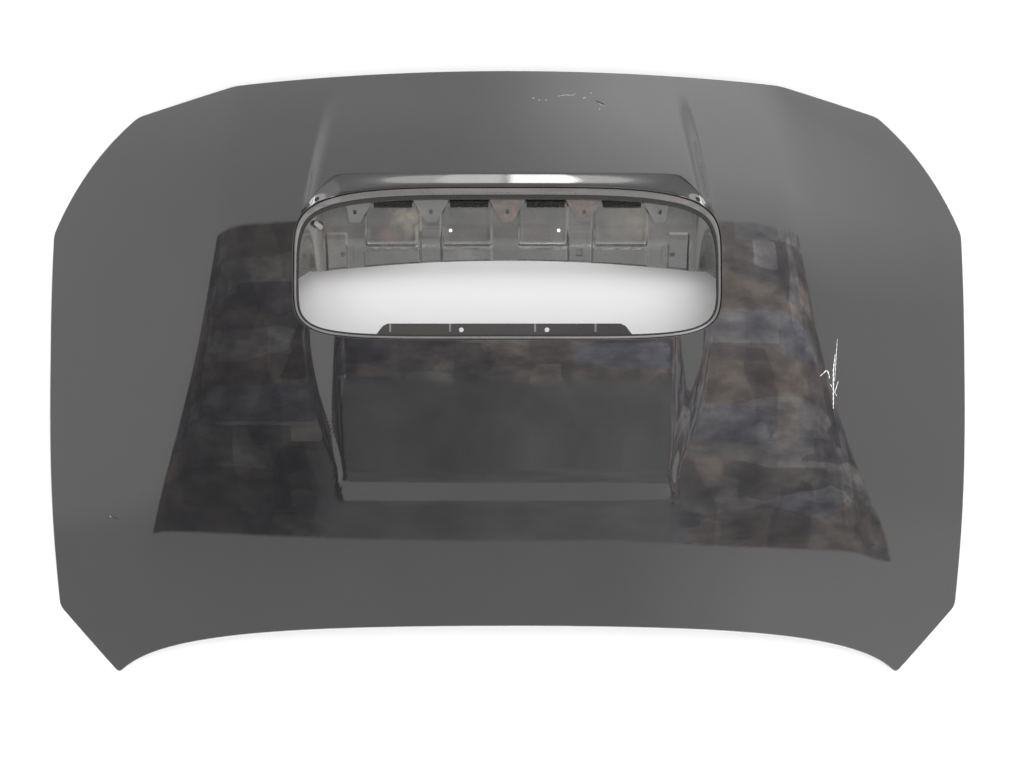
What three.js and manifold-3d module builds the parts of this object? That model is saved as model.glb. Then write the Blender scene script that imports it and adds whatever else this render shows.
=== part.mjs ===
// A car bonnet with a large scoop aperture, lying on its underside.
// Millimetres. +X is across the car, +Y points to the nose and +Z is up.
import * as THREE from 'three';
import Module from 'manifold-3d';
import { mergeVertices } from 'three/addons/utils/BufferGeometryUtils.js';

const wasm = await Module();
wasm.setup();

// Outline of one half, seen from above, from the nose to the windscreen side
const NOSE_Y = 494;
const LAMP_INNER = [447, 472];
const LAMP_MID = [610, 424];
const LAMP_OUTER = [750, 230];
const LAMP_BOW = [702, 343];
const SIDE_BOW = [757, -68];
const REAR_OUTER = [739, -383];
const REAR_TIP = [642, -494];
const REAR_MIDDLE_Y = -406;
const REAR_BOW_TIP = [588, -436];
const REAR_BOW_MIDDLE = [430, -406];
const CORNER_CUT = 9;
const STATION_STEP = 60;

// Crown of the panel
const LENGTH_RADIUS = 2400;
const WIDTH_RADIUS = 4600;
const PITCH = 0.0138;
const NOSE_DROP_START = 332;
const NOSE_DROP = 26;
const SHOULDER_SLOPE = 0.123;
const SHOULDER_X = 488;
const SHOULDER_Y = 64;
const SHOULDER_FRONT_TAPER = 0.13;
const SHOULDER_REAR_TAPER = 0.27;
const SHOULDER_BLEND = 26;
const SHOULDER_TURN = 120;

// Front ramp that rises to a lip, and the wall behind the lip
const RAMP_HEIGHT = 16;
const RAMP_START_Y = 480;
const RAMP_END_Y = 286;
const RAMP_FADE = 34;
const RAMP_FOOT_X = 302;
const RAMP_FOOT_Y = 415;
const RAMP_FOOT_TAPER = 0.19;
const RAMP_SIDE_WIDTH = 30;
const LIP_Y = 318;
const LIP_CORNER_X = 276;
const LIP_CORNER_ROUND = 8;
const LIP_DIAGONAL = [0.729, 0.684];
const LIP_SLANT_LENGTH = 67;
const LIP_WALL_MARGIN = 3;
const LIP_WALL_END = 7;

// Rear bulge behind the aperture
const BULGE_FRONT_HEIGHT = 8.6;
const BULGE_FULL_Y = 130;
const BULGE_REAR_HEIGHT = 2.8;
const BULGE_MIDDLE_Y = -150;
const BULGE_END_Y = -215;
const BULGE_TOP_X = 261;
const BULGE_FOOT_X = 324;
const BULGE_FOOT_Y = 65;
const BULGE_FOOT_RUN = 216;
const BULGE_FOOT_PULL = 53;

// Aperture
const HOLE_HALF_WIDTH = 342;
const HOLE_HALF_LENGTH = 122;
const HOLE_Y = 175.5;
const HOLE_POWER_FRONT = 4.2;
const HOLE_POWER_REAR = 5.8;
const RIM_DEPTH = 4;

// Sheet metal
const SKIN = 1;
const INNER = 0.9;
const GAP = 0.35;
const HEM_WIDTH = 13;
const EDGE_ROUND = 0.4;
const FLANGE_DEPTH = SKIN + GAP;
const HEM_TOP = FLANGE_DEPTH + INNER + GAP;
const HEM_DEPTH = HEM_TOP + SKIN;
const CHANNEL_OUTER_DEPTH = 9;
const CHANNEL_DEPTH = 20;
const RIB_DEPTH = 9;
const COLLAR_DEPTH = 14;
const COLLAR_REACH = 18;

// Sloping front wall of the inner panel, inside the aperture
const WALL_TOP_Y = 313.6;
const WALL_TOP_DEPTH = 20;
const WALL_SLOPE = 0.32;
const WALL_EDGE_Y = 184.6;
const WALL_EDGE_BOW = 18.4;
const WALL_EDGE_X = 322;
const INNER_SIDE_X = 347;
const INNER_SIDE_FRONT_Y = 142;
const INNER_SIDE_REAR_Y = 97;
const INNER_REAR_X = 300;
const INNER_REAR_Y = 48;

// Ring flange
const RING_SHEET = 1.2;
const RING_STEP = RIM_DEPTH + 0.5;
const RING_GROOVE = 1.2;
const RING_WALL = 8;
const RING_LAP = 12;
const LAP_GAP = 1.8;
const RING_SEAT_SIDE = 8;
const RING_SEAT_FRONT = 19;

const clamp01 = (value) => Math.min(1, Math.max(0, value));

function smooth(low, high, value) {
  const t = clamp01((value - low) / (high - low));
  return t * t * (3 - 2 * t);
}

// max(0, value) with a rounded knee
function softRamp(value, width) {
  return 0.5 * (value + Math.sqrt(value * value + width * width));
}

// Height of the plain crowned panel, without its ramp and bulge
function crown(x, y) {
  const across = Math.abs(x);
  const frontPull = SHOULDER_FRONT_TAPER * softRamp(y - SHOULDER_Y, SHOULDER_TURN);
  const rearPush = SHOULDER_REAR_TAPER * softRamp(SHOULDER_Y - y, SHOULDER_TURN);
  const shoulder = softRamp(across - (SHOULDER_X - frontPull + rearPush), SHOULDER_BLEND);
  const fade = 1 - 0.6 * smooth(SHOULDER_Y, -300, y);
  const nose = softRamp(y - NOSE_DROP_START, 20) / (NOSE_Y - NOSE_DROP_START);
  return PITCH * y - y * y / (2 * LENGTH_RADIUS) - x * x / (2 * WIDTH_RADIUS)
    - NOSE_DROP * nose * nose - SHOULDER_SLOPE * fade * shoulder;
}

// Width of the wall behind the lip: from the lip to the rim, and narrower along the slanted ends
function lipWallWidth(across, y) {
  const share = Math.min(across, LIP_CORNER_X) / HOLE_HALF_WIDTH;
  const rimBow = Math.pow(1 - Math.pow(share, HOLE_POWER_FRONT), 1 / HOLE_POWER_FRONT);
  const straight = LIP_Y - (HOLE_Y + HOLE_HALF_LENGTH * rimBow) - LIP_WALL_MARGIN;
  const slant = (across - LIP_CORNER_X) * LIP_DIAGONAL[1] - (y - LIP_Y) * LIP_DIAGONAL[0];
  return straight + (LIP_WALL_END - straight) * clamp01(slant / LIP_SLANT_LENGTH);
}

function frontRamp(x, y) {
  const across = Math.abs(x);
  const foot = RAMP_FOOT_X + RAMP_FOOT_TAPER * (RAMP_FOOT_Y - y);
  const rise = smooth(RAMP_START_Y, LIP_Y, y);
  const inwards = clamp01((foot - across) / RAMP_SIDE_WIDTH);
  const side = smooth(0, 1, 1 - Math.pow(1 - inwards, 1.5));
  const ahead = y - LIP_Y;
  const diagonal = (across - LIP_CORNER_X) * LIP_DIAGONAL[0] + ahead * LIP_DIAGONAL[1];
  const pastLip = ahead + softRamp(diagonal - ahead, LIP_CORNER_ROUND);
  const wallShare = clamp01(1 + pastLip / lipWallWidth(across, y));
  const wall = 0.7 * wallShare + 0.3 * smooth(0, 1, wallShare);
  const end = smooth(RAMP_END_Y - RAMP_FADE, RAMP_END_Y, y);
  return RAMP_HEIGHT * rise * side * wall * end;
}

function rearBulge(x, y) {
  const run = Math.max(0, BULGE_FOOT_Y - y) / BULGE_FOOT_RUN;
  const foot = Math.max(BULGE_TOP_X + 10, BULGE_FOOT_X - BULGE_FOOT_PULL * run * run);
  const side = 1 - smooth(BULGE_TOP_X, foot, Math.abs(x));
  const front = BULGE_FRONT_HEIGHT * smooth(BULGE_MIDDLE_Y, BULGE_FULL_Y, y);
  const rear = BULGE_REAR_HEIGHT * smooth(BULGE_END_Y, BULGE_MIDDLE_Y, y);
  return (front + rear) * side * (1 - smooth(HOLE_Y - 60, HOLE_Y, y));
}

const skinHeight = (x, y) => crown(x, y) + frontRamp(x, y) + rearBulge(x, y);

// A point that lies a true depth below a sloping surface, straight under a place on it
function below(height, place, depth) {
  const step = 0.5;
  const { x, y } = place;
  const slopeX = (height(x + step, y) - height(x - step, y)) / (2 * step);
  const slopeY = (height(x, y + step) - height(x, y - step)) / (2 * step);
  const upright = depth * Math.sqrt(1 + slopeX * slopeX + slopeY * slopeY);
  return new THREE.Vector3(x, y, height(x, y) - upright);
}

const point2 = ([x, y]) => new THREE.Vector2(x, y);

// The outline of one half as stretches. Each stretch says how far along the aperture's half
// outline its grid lines end, from 0 at the nose side to 1 at the windscreen side.
function outlineStretches() {
  const noseMiddle = new THREE.Vector2(0, NOSE_Y);
  const noseBow = new THREE.Vector2(LAMP_INNER[0] / 2, NOSE_Y);
  const rearMiddle = new THREE.Vector2(0, REAR_MIDDLE_Y);
  const lampInner = point2(LAMP_INNER);
  const lampMid = point2(LAMP_MID);
  const lampOuter = point2(LAMP_OUTER);
  const rearOuter = point2(REAR_OUTER);
  const tip = point2(REAR_TIP);
  return [
    { curve: new THREE.QuadraticBezierCurve(noseMiddle, noseBow, lampInner), reach: 0.28 },
    { curve: new THREE.LineCurve(lampInner, lampMid), reach: 0.36 },
    { curve: new THREE.QuadraticBezierCurve(lampMid, point2(LAMP_BOW), lampOuter), reach: 0.435 },
    { curve: new THREE.QuadraticBezierCurve(lampOuter, point2(SIDE_BOW), rearOuter), reach: 0.585 },
    { curve: new THREE.LineCurve(rearOuter, tip), reach: 0.64 },
    {
      curve: new THREE.CubicBezierCurve(tip, point2(REAR_BOW_TIP), point2(REAR_BOW_MIDDLE), rearMiddle),
      reach: 1,
    },
  ];
}

// Points of the half outline with every corner cut round, each with its share of the aperture
function halfStations() {
  const stations = [];
  let reached = 0;
  const stretches = outlineStretches();
  stretches.forEach((stretch, index) => {
    const length = stretch.curve.getLength();
    const first = index === 0 ? 0 : CORNER_CUT / length;
    const last = index === stretches.length - 1 ? 1 : 1 - CORNER_CUT / length;
    const count = Math.max(2, Math.round(length / STATION_STEP));
    for (let k = 0; k <= count; k += 1) {
      const u = Math.min(1, first + (last - first) * k / count);
      const place = stretch.curve.getPointAt(u);
      stations.push({ place, share: reached + (stretch.reach - reached) * u });
    }
    reached = stretch.reach;
  });
  return stations;
}

function resample(points, share) {
  const lengths = [0];
  for (let k = 1; k < points.length; k += 1) {
    lengths.push(lengths[k - 1] + points[k].distanceTo(points[k - 1]));
  }
  const wanted = share * lengths[lengths.length - 1];
  let k = 1;
  while (k < points.length - 1 && lengths[k] < wanted) {
    k += 1;
  }
  const t = (wanted - lengths[k - 1]) / (lengths[k] - lengths[k - 1]);
  return points[k - 1].clone().lerp(points[k], t);
}

function halfAperture() {
  const points = [];
  const steps = 400;
  for (let k = 0; k <= steps; k += 1) {
    const angle = Math.PI / 2 - Math.PI * k / steps;
    const cos = Math.cos(angle);
    const sin = Math.sin(angle);
    const power = sin > 0 ? HOLE_POWER_FRONT : HOLE_POWER_REAR;
    const scale = Math.pow(
      Math.pow(Math.abs(cos), power) + Math.pow(Math.abs(sin), power), -1 / power);
    points.push(new THREE.Vector2(
      HOLE_HALF_WIDTH * scale * cos, HOLE_Y + HOLE_HALF_LENGTH * scale * sin));
  }
  return points;
}

// Edge of the inner panel's own opening: an arc at the front, then hidden under the ring
function halfInnerOpening() {
  const points = [];
  const steps = 24;
  for (let k = 0; k <= steps; k += 1) {
    const x = WALL_EDGE_X * k / steps;
    points.push(new THREE.Vector2(x, WALL_EDGE_Y - WALL_EDGE_BOW * (x / WALL_EDGE_X) ** 2));
  }
  points.push(new THREE.Vector2(INNER_SIDE_X, INNER_SIDE_FRONT_Y));
  points.push(new THREE.Vector2(INNER_SIDE_X, INNER_SIDE_REAR_Y));
  points.push(new THREE.Vector2(INNER_REAR_X, INNER_REAR_Y));
  points.push(new THREE.Vector2(0, INNER_REAR_Y));
  return points;
}

const INNER_SHARES = [
  [0, 0], [0.28, 0.31], [0.36, 0.41], [0.435, 0.455], [0.585, 0.53], [0.64, 0.59], [1, 1],
];

function innerShare(share) {
  let k = 1;
  while (k < INNER_SHARES.length - 1 && INNER_SHARES[k][0] < share) {
    k += 1;
  }
  const [from, to] = [INNER_SHARES[k - 1], INNER_SHARES[k]];
  return from[1] + (to[1] - from[1]) * (share - from[0]) / (to[0] - from[0]);
}

// Every station: a point on the outer edge, one on the aperture and one on the inner opening
function fullStations() {
  const rimHalf = halfAperture();
  const innerHalf = halfInnerOpening();
  const right = halfStations().map(({ place, share }) => ({
    edge: place,
    rim: resample(rimHalf, share),
    inner: resample(innerHalf, innerShare(share)),
  }));
  const left = right.slice(1, -1).reverse().map((station) => ({
    edge: new THREE.Vector2(-station.edge.x, station.edge.y),
    rim: new THREE.Vector2(-station.rim.x, station.rim.y),
    inner: new THREE.Vector2(-station.inner.x, station.inner.y),
  }));
  return [...right, ...left];
}

const outwardNormal = (before, after) =>
  new THREE.Vector2(before.y - after.y, after.x - before.x).normalize();

const stations = fullStations();
stations.forEach((station, index) => {
  const count = stations.length;
  const before = stations[(index + count - 1) % count];
  const after = stations[(index + 1) % count];
  station.along = station.rim.clone().sub(station.edge);
  station.length = station.along.length();
  station.along.divideScalar(station.length);
  const edgeNormal = outwardNormal(before.edge, after.edge);
  const rimNormal = outwardNormal(before.rim, after.rim);
  station.edgeStretch = 1 / Math.max(0.4, Math.abs(edgeNormal.dot(station.along)));
  station.rimStretch = 1 / Math.max(0.45, Math.abs(rimNormal.dot(station.along)));
});

const fromEdge = (station, distance) =>
  station.edge.clone().addScaledVector(station.along, distance * station.edgeStretch);

const fromRim = (station, distance) =>
  station.rim.clone().addScaledVector(station.along, -distance * station.rimStretch);

// A closed sheet made of one closed section for each station
function sweptSections(sections) {
  const across = sections[0].length;
  const positions = [];
  const index = [];
  sections.forEach((section) => {
    section.forEach((p) => positions.push(p.x, p.y, p.z));
  });
  for (let i = 0; i < sections.length; i += 1) {
    const next = (i + 1) % sections.length;
    for (let j = 0; j < across; j += 1) {
      const k = (j + 1) % across;
      const a = i * across + j;
      const b = next * across + j;
      const c = next * across + k;
      const d = i * across + k;
      index.push(a, b, c, a, c, d);
    }
  }
  const geometry = new THREE.BufferGeometry();
  geometry.setAttribute('position', new THREE.Float32BufferAttribute(positions, 3));
  geometry.setIndex(index);
  return facingOut(geometry);
}

function signedVolume(geometry) {
  const position = geometry.getAttribute('position');
  const index = geometry.getIndex();
  const corner = (k) => new THREE.Vector3().fromBufferAttribute(position, index.getX(k));
  let volume = 0;
  for (let k = 0; k < index.count; k += 3) {
    volume += corner(k).dot(corner(k + 1).cross(corner(k + 2))) / 6;
  }
  return volume;
}

function facingOut(geometry) {
  if (signedVolume(geometry) < 0) {
    const index = geometry.getIndex();
    for (let k = 0; k < index.count; k += 3) {
      const first = index.getX(k);
      index.setX(k, index.getX(k + 1));
      index.setX(k + 1, first);
    }
  }
  geometry.computeVertexNormals();
  return geometry;
}

function toSolid(source) {
  const bare = source.clone();
  bare.deleteAttribute('normal');
  bare.deleteAttribute('uv');
  const merged = mergeVertices(bare, 1e-4);
  return new wasm.Manifold(new wasm.Mesh({
    numProp: 3,
    vertProperties: new Float32Array(merged.getAttribute('position').array),
    triVerts: new Uint32Array(merged.getIndex().array),
  }));
}

function toGeometry(solid) {
  const mesh = solid.getMesh();
  const geometry = new THREE.BufferGeometry();
  geometry.setAttribute('position', new THREE.BufferAttribute(mesh.vertProperties, 3));
  geometry.setIndex(new THREE.BufferAttribute(mesh.triVerts, 1));
  geometry.computeVertexNormals();
  return geometry;
}

const above = (place, z) => new THREE.Vector3(place.x, place.y, z);

const extrude = (shape, depth, curveSegments) =>
  new THREE.ExtrudeGeometry(shape, { depth, bevelEnabled: false, curveSegments });

// Places along a station's line, closer together where the skin's slope changes
const LINE_SAMPLES = 160;
const BEND_GAIN = 26;
const SKIN_RINGS = 10;
const RIM_CLEAR = 6;

function skinPlaces(station) {
  const start = HEM_WIDTH * station.edgeStretch;
  const end = station.length - RIM_CLEAR * station.rimStretch;
  const step = (end - start) / LINE_SAMPLES;
  const placeAt = (distance) => station.edge.clone().addScaledVector(station.along, distance);
  const heights = [];
  for (let k = -1; k <= LINE_SAMPLES + 1; k += 1) {
    const p = placeAt(start + k * step);
    heights.push(skinHeight(p.x, p.y));
  }
  const reached = [0];
  for (let k = 1; k <= LINE_SAMPLES; k += 1) {
    const bend = Math.abs(heights[k + 1] - 2 * heights[k] + heights[k - 1]) / (step * step);
    reached.push(reached[k - 1] + step * (1 + BEND_GAIN * Math.sqrt(bend)));
  }
  const places = [];
  let k = 1;
  for (let ring = 0; ring <= SKIN_RINGS; ring += 1) {
    const wanted = reached[LINE_SAMPLES] * ring / SKIN_RINGS;
    while (k < LINE_SAMPLES && reached[k] < wanted) {
      k += 1;
    }
    const part = (wanted - reached[k - 1]) / (reached[k] - reached[k - 1]);
    places.push(placeAt(start + (k - 1 + part) * step));
  }
  return places;
}

// Outer skin: its top from the edge to the rim, the rim's lip, the underside, the fold and the hem
function skinSection(station) {
  const places = skinPlaces(station);
  const rimZ = skinHeight(station.rim.x, station.rim.y);
  const foldIn = fromEdge(station, SKIN);
  const hemEnd = fromEdge(station, HEM_WIDTH);
  const lipOut = fromRim(station, SKIN);
  const top = places.map((p) => above(p, skinHeight(p.x, p.y)));
  const under = places.map((p) => below(skinHeight, p, SKIN));
  return [
    below(crown, station.edge, EDGE_ROUND),
    ...top,
    above(station.rim, rimZ),
    above(station.rim, rimZ - RIM_DEPTH),
    above(lipOut, rimZ - RIM_DEPTH),
    above(lipOut, rimZ - SKIN),
    ...under.reverse(),
    below(crown, foldIn, SKIN),
    below(crown, foldIn, HEM_TOP),
    below(crown, hemEnd, HEM_TOP),
    below(crown, hemEnd, HEM_DEPTH),
    below(crown, station.edge, HEM_DEPTH - EDGE_ROUND),
  ];
}

// Depth of the inner panel under the crown near and inside the aperture
function apertureDepth(x, y) {
  const inFront = smooth(60, 120, y) * (1 - smooth(305, 345, Math.abs(x)));
  const wall = WALL_TOP_DEPTH - COLLAR_DEPTH + WALL_SLOPE * Math.max(0, WALL_TOP_Y - y);
  return COLLAR_DEPTH + inFront * wall;
}

const innerWallHeight = (x, y) => crown(x, y) - apertureDepth(x, y);

const INNER_FROM_EDGE = [
  [2, FLANGE_DEPTH],
  [HEM_WIDTH, FLANGE_DEPTH],
  [HEM_WIDTH + 15, CHANNEL_OUTER_DEPTH],
  [88, CHANNEL_DEPTH],
  [104, RIB_DEPTH],
];
const INNER_FROM_RIM = [
  [62, RIB_DEPTH],
  [48, CHANNEL_DEPTH],
];

function innerSection(station) {
  const places = [];
  INNER_FROM_EDGE.forEach(([distance, depth]) => {
    places.push(below(crown, fromEdge(station, distance), depth));
  });
  const ribOuter = fromEdge(station, INNER_FROM_EDGE[4][0]);
  const ribInner = fromRim(station, INNER_FROM_RIM[0][0]);
  places.push(below(crown, ribOuter.lerp(ribInner, 0.5), RIB_DEPTH));
  INNER_FROM_RIM.forEach(([distance, depth]) => {
    places.push(below(crown, fromRim(station, distance), depth));
  });
  const collar = fromRim(station, COLLAR_REACH);
  [0, 0.5, 1].forEach((t) => {
    const p = collar.clone().lerp(station.inner, t);
    places.push(above(p, innerWallHeight(p.x, p.y)));
  });
  const under = places.map((p) => new THREE.Vector3(p.x, p.y, p.z - INNER));
  return [...places, ...under.reverse()];
}

// Lightening cut-outs of the inner panel: centre, size and corner radius
const CUTOUT_RADIUS = 30;
const CUTOUTS = [
  { x: 524, y: 96, width: 140, length: 196 },
  { x: 540, y: -134, width: 140, length: 196 },
  { x: 312, y: -152, width: 140, length: 190 },
  { x: 106, y: -160, width: 140, length: 176 },
  { x: 476, y: 288, width: 128, length: 92 },
];

function roundedRectangle(width, length, radius) {
  const shape = new THREE.Shape();
  const w = width / 2;
  const l = length / 2;
  shape.moveTo(-w + radius, -l);
  shape.lineTo(w - radius, -l);
  shape.absarc(w - radius, -l + radius, radius, -Math.PI / 2, 0);
  shape.lineTo(w, l - radius);
  shape.absarc(w - radius, l - radius, radius, 0, Math.PI / 2);
  shape.lineTo(-w + radius, l);
  shape.absarc(-w + radius, l - radius, radius, Math.PI / 2, Math.PI);
  shape.lineTo(-w, -l + radius);
  shape.absarc(-w + radius, -l + radius, radius, Math.PI, Math.PI * 1.5);
  return shape;
}

const CUTTER_HEIGHT = 400;

function cutter(x, y, shape) {
  const geometry = extrude(shape, CUTTER_HEIGHT, 3);
  geometry.translate(x, y, -CUTTER_HEIGHT / 2);
  return toSolid(geometry);
}

function innerPanelGeometry() {
  let solid = toSolid(sweptSections(stations.map(innerSection)));
  CUTOUTS.forEach(({ x, y, width, length }) => {
    [x, -x].forEach((side) => {
      solid = solid.subtract(cutter(side, y, roundedRectangle(width, length, CUTOUT_RADIUS)));
    });
  });
  return toGeometry(solid);
}

// Ring flange: lapped under the skin, stepped down at the rim, with a turned-down inner edge
function ringSection(station) {
  const front = smooth(HOLE_Y, HOLE_Y + HOLE_HALF_LENGTH, station.rim.y);
  const seat = RING_SEAT_SIDE + (RING_SEAT_FRONT - RING_SEAT_SIDE) * front;
  const rimZ = skinHeight(station.rim.x, station.rim.y);
  const underSkin = (distance) => {
    const p = fromRim(station, distance);
    const z = Math.min(rimZ, skinHeight(p.x, p.y)) - SKIN - LAP_GAP;
    return [p, z];
  };
  const [lapEnd, lapEndZ] = underSkin(RING_LAP);
  const [lapStart, lapStartZ] = underSkin(6);
  const seatInner = fromRim(station, -seat);
  const wallInner = fromRim(station, -seat + RING_SHEET);
  const seatZ = rimZ - RING_STEP;
  const grooveZ = seatZ - RING_GROOVE;
  return [
    above(lapEnd, lapEndZ),
    above(lapStart, lapStartZ),
    above(fromRim(station, 2.6), grooveZ),
    above(fromRim(station, -0.4), grooveZ),
    above(fromRim(station, -1.4), seatZ),
    above(seatInner, seatZ),
    above(seatInner, seatZ - RING_WALL),
    above(wallInner, seatZ - RING_WALL),
    above(wallInner, seatZ - RING_SHEET),
    above(fromRim(station, -2), seatZ - RING_SHEET),
    above(fromRim(station, -1), grooveZ - RING_SHEET),
    above(fromRim(station, 3.4), grooveZ - RING_SHEET),
    above(fromRim(station, 6.8), lapStartZ - RING_SHEET),
    above(lapEnd, lapEndZ - RING_SHEET),
  ];
}

// Finishes and the group that every piece is added to
const paint = new THREE.MeshStandardMaterial({ color: 0x16171a, roughness: 0.12, metalness: 0.1 });
const primer = new THREE.MeshStandardMaterial({ color: 0x2b2c2d, roughness: 0.42, metalness: 0.15 });
const steel = new THREE.MeshStandardMaterial({ color: 0x8c8b86, roughness: 0.4, metalness: 0.9 });
const foam = new THREE.MeshStandardMaterial({ color: 0x0c0c0c, roughness: 0.95, metalness: 0 });
const mastic = new THREE.MeshStandardMaterial({ color: 0x4b4a46, roughness: 0.8, metalness: 0 });
const paleClip = new THREE.MeshStandardMaterial({ color: 0xb9b6ac, roughness: 0.5, metalness: 0 });

const lowestHem = Math.min(
  ...stations.map((station) => skinHeight(station.edge.x, station.edge.y)));
const REST_HEIGHT = HEM_DEPTH - lowestHem;

const edgeYs = stations.map((station) => station.edge.y);
const MIDDLE_Y = (Math.min(...edgeYs) + Math.max(...edgeYs)) / 2;

const bonnet = new THREE.Group();
bonnet.position.set(0, -MIDDLE_Y, REST_HEIGHT);

function addPiece(name, geometry, material) {
  const mesh = new THREE.Mesh(geometry, material);
  mesh.name = name;
  bonnet.add(mesh);
  return mesh;
}

// Clear gap under a piece that is laid on a panel, and how far joined plates run into each other
const SEAT_GAP = 0.4;
const BITE = 0.4;

// Turns a piece so that its own +Z points along the surface's normal at a place
function standOn(mesh, height, x, y, lift) {
  const step = 6;
  const normal = new THREE.Vector3(
    (height(x - step, y) - height(x + step, y)) / (2 * step),
    (height(x, y - step) - height(x, y + step)) / (2 * step),
    1).normalize();
  mesh.quaternion.setFromUnitVectors(new THREE.Vector3(0, 0, 1), normal);
  mesh.position.set(x, y, height(x, y)).addScaledVector(normal, lift);
}

// Lays a flat piece against a panel's upper or lower face, clear of it over its whole footprint
function layOn(mesh, panel, place, footprint, face, turn = 0) {
  const caster = new THREE.Raycaster();
  const heightAt = (x, y) => {
    caster.set(new THREE.Vector3(x, y, face * 500), new THREE.Vector3(0, 0, -face));
    return caster.intersectObject(panel)[0].point.z;
  };
  const [x, y] = place;
  const [halfWidth, halfLength] = footprint;
  const cos = Math.cos(turn);
  const sin = Math.sin(turn);
  const spot = (u, v) => [x + u * cos - v * sin, y + u * sin + v * cos];
  const steps = [-1, -0.67, -0.33, 0, 0.33, 0.67, 1];
  const sampled = steps.flatMap((i) => steps.map((j) => {
    const z = heightAt(...spot(i * halfWidth, j * halfLength));
    return { i, j, z };
  }));
  const mean = (pick) => pick.reduce((sum, item) => sum + item.z, 0) / pick.length;
  const slopeU = (mean(sampled.filter((s) => s.i === 1)) - mean(sampled.filter((s) => s.i === -1)))
    / (2 * halfWidth);
  const slopeV = (mean(sampled.filter((s) => s.j === 1)) - mean(sampled.filter((s) => s.j === -1)))
    / (2 * halfLength);
  const centre = mean(sampled);
  const worst = Math.max(...sampled.map((s) =>
    face * (s.z - centre - slopeU * s.i * halfWidth - slopeV * s.j * halfLength)));
  const alongU = new THREE.Vector3(cos, sin, slopeU).normalize();
  const alongV = new THREE.Vector3(-sin, cos, slopeV).normalize();
  const normal = alongU.clone().cross(alongV).normalize();
  const squareV = normal.clone().cross(alongU);
  mesh.quaternion.setFromRotationMatrix(new THREE.Matrix4().makeBasis(alongU, squareV, normal));
  mesh.position.set(x, y, centre).addScaledVector(normal, face * (worst + SEAT_GAP));
}

// Front brackets: a tapering tab with a hole, and a foot on the inner panel's wall
const TAB_PITCH = 123;
const TAB_TOP_Y = 290;
const TAB_DROP = 13.6;
const TAB_SLOPE = 20 * Math.PI / 180;
const TAB_LENGTH = 46;
const TAB_TOP_HALF = 30;
const TAB_BOTTOM_HALF = 10.5;
const TAB_END_HALF = 15;
const TAB_SHOULDER = 8;
const TAB_SHEET = 1.5;
const TAB_HOLE = [3.2, 4.2];
const FOOT_HALF = 15;
const FOOT_CLEAR = 1.2;

// outerHalf is the half width on the outer side, narrower on the two end tabs
function tabGeometry(x, outerHalf) {
  const outline = [
    [-TAB_TOP_HALF, 0],
    [-TAB_TOP_HALF, -TAB_SHOULDER],
    [-TAB_BOTTOM_HALF, -TAB_LENGTH + TAB_SHOULDER / 2],
    [-TAB_SHOULDER, -TAB_LENGTH],
    [TAB_SHOULDER, -TAB_LENGTH],
    [TAB_BOTTOM_HALF, -TAB_LENGTH + TAB_SHOULDER / 2],
    [outerHalf, -TAB_SHOULDER],
    [outerHalf, 0],
  ];
  const turned = x < 0 ? outline.map(([u, v]) => [-u, v]).reverse() : outline;
  const shape = new THREE.Shape(turned.map(point2));
  const hole = new THREE.Path();
  hole.absellipse(0, -TAB_LENGTH * 0.62, ...TAB_HOLE, 0, Math.PI * 2, true);
  shape.holes.push(hole);
  const plate = extrude(shape, TAB_SHEET, 4);
  plate.rotateX(TAB_SLOPE);
  const footHeight = skinHeight(x, TAB_TOP_Y) - TAB_DROP - RING_STEP
    - innerWallHeight(x, TAB_TOP_Y) - FOOT_CLEAR;
  const foot = new THREE.BoxGeometry(2 * FOOT_HALF, TAB_SHEET, footHeight);
  foot.translate(0, -TAB_SHEET / 2, BITE - footHeight / 2);
  return toGeometry(toSolid(plate).add(toSolid(foot)));
}

// Rear bracket: a strip with two holes on a web that stands on the inner panel
const REAR_STRIP_X = -5;
const REAR_STRIP_Y = 64;
const REAR_STRIP_Z = -9.6;
const REAR_STRIP_WIDTH = 17;
const REAR_STRIP_FRONT_X = 189;
const REAR_STRIP_REAR_X = 203;
const REAR_STRIP_CHAMFER = 4;
const REAR_HOLE_X = 68;
const REAR_HOLE_Y = 7;
const REAR_HOLE_RADIUS = 3.8;
const REAR_WEB_Y = 45;
const REAR_FOOT_WIDTH = 62;
const REAR_FEET_X = [-165, -55, 55, 165];
const REAR_FOOT_CLEAR = 0.6;

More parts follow.
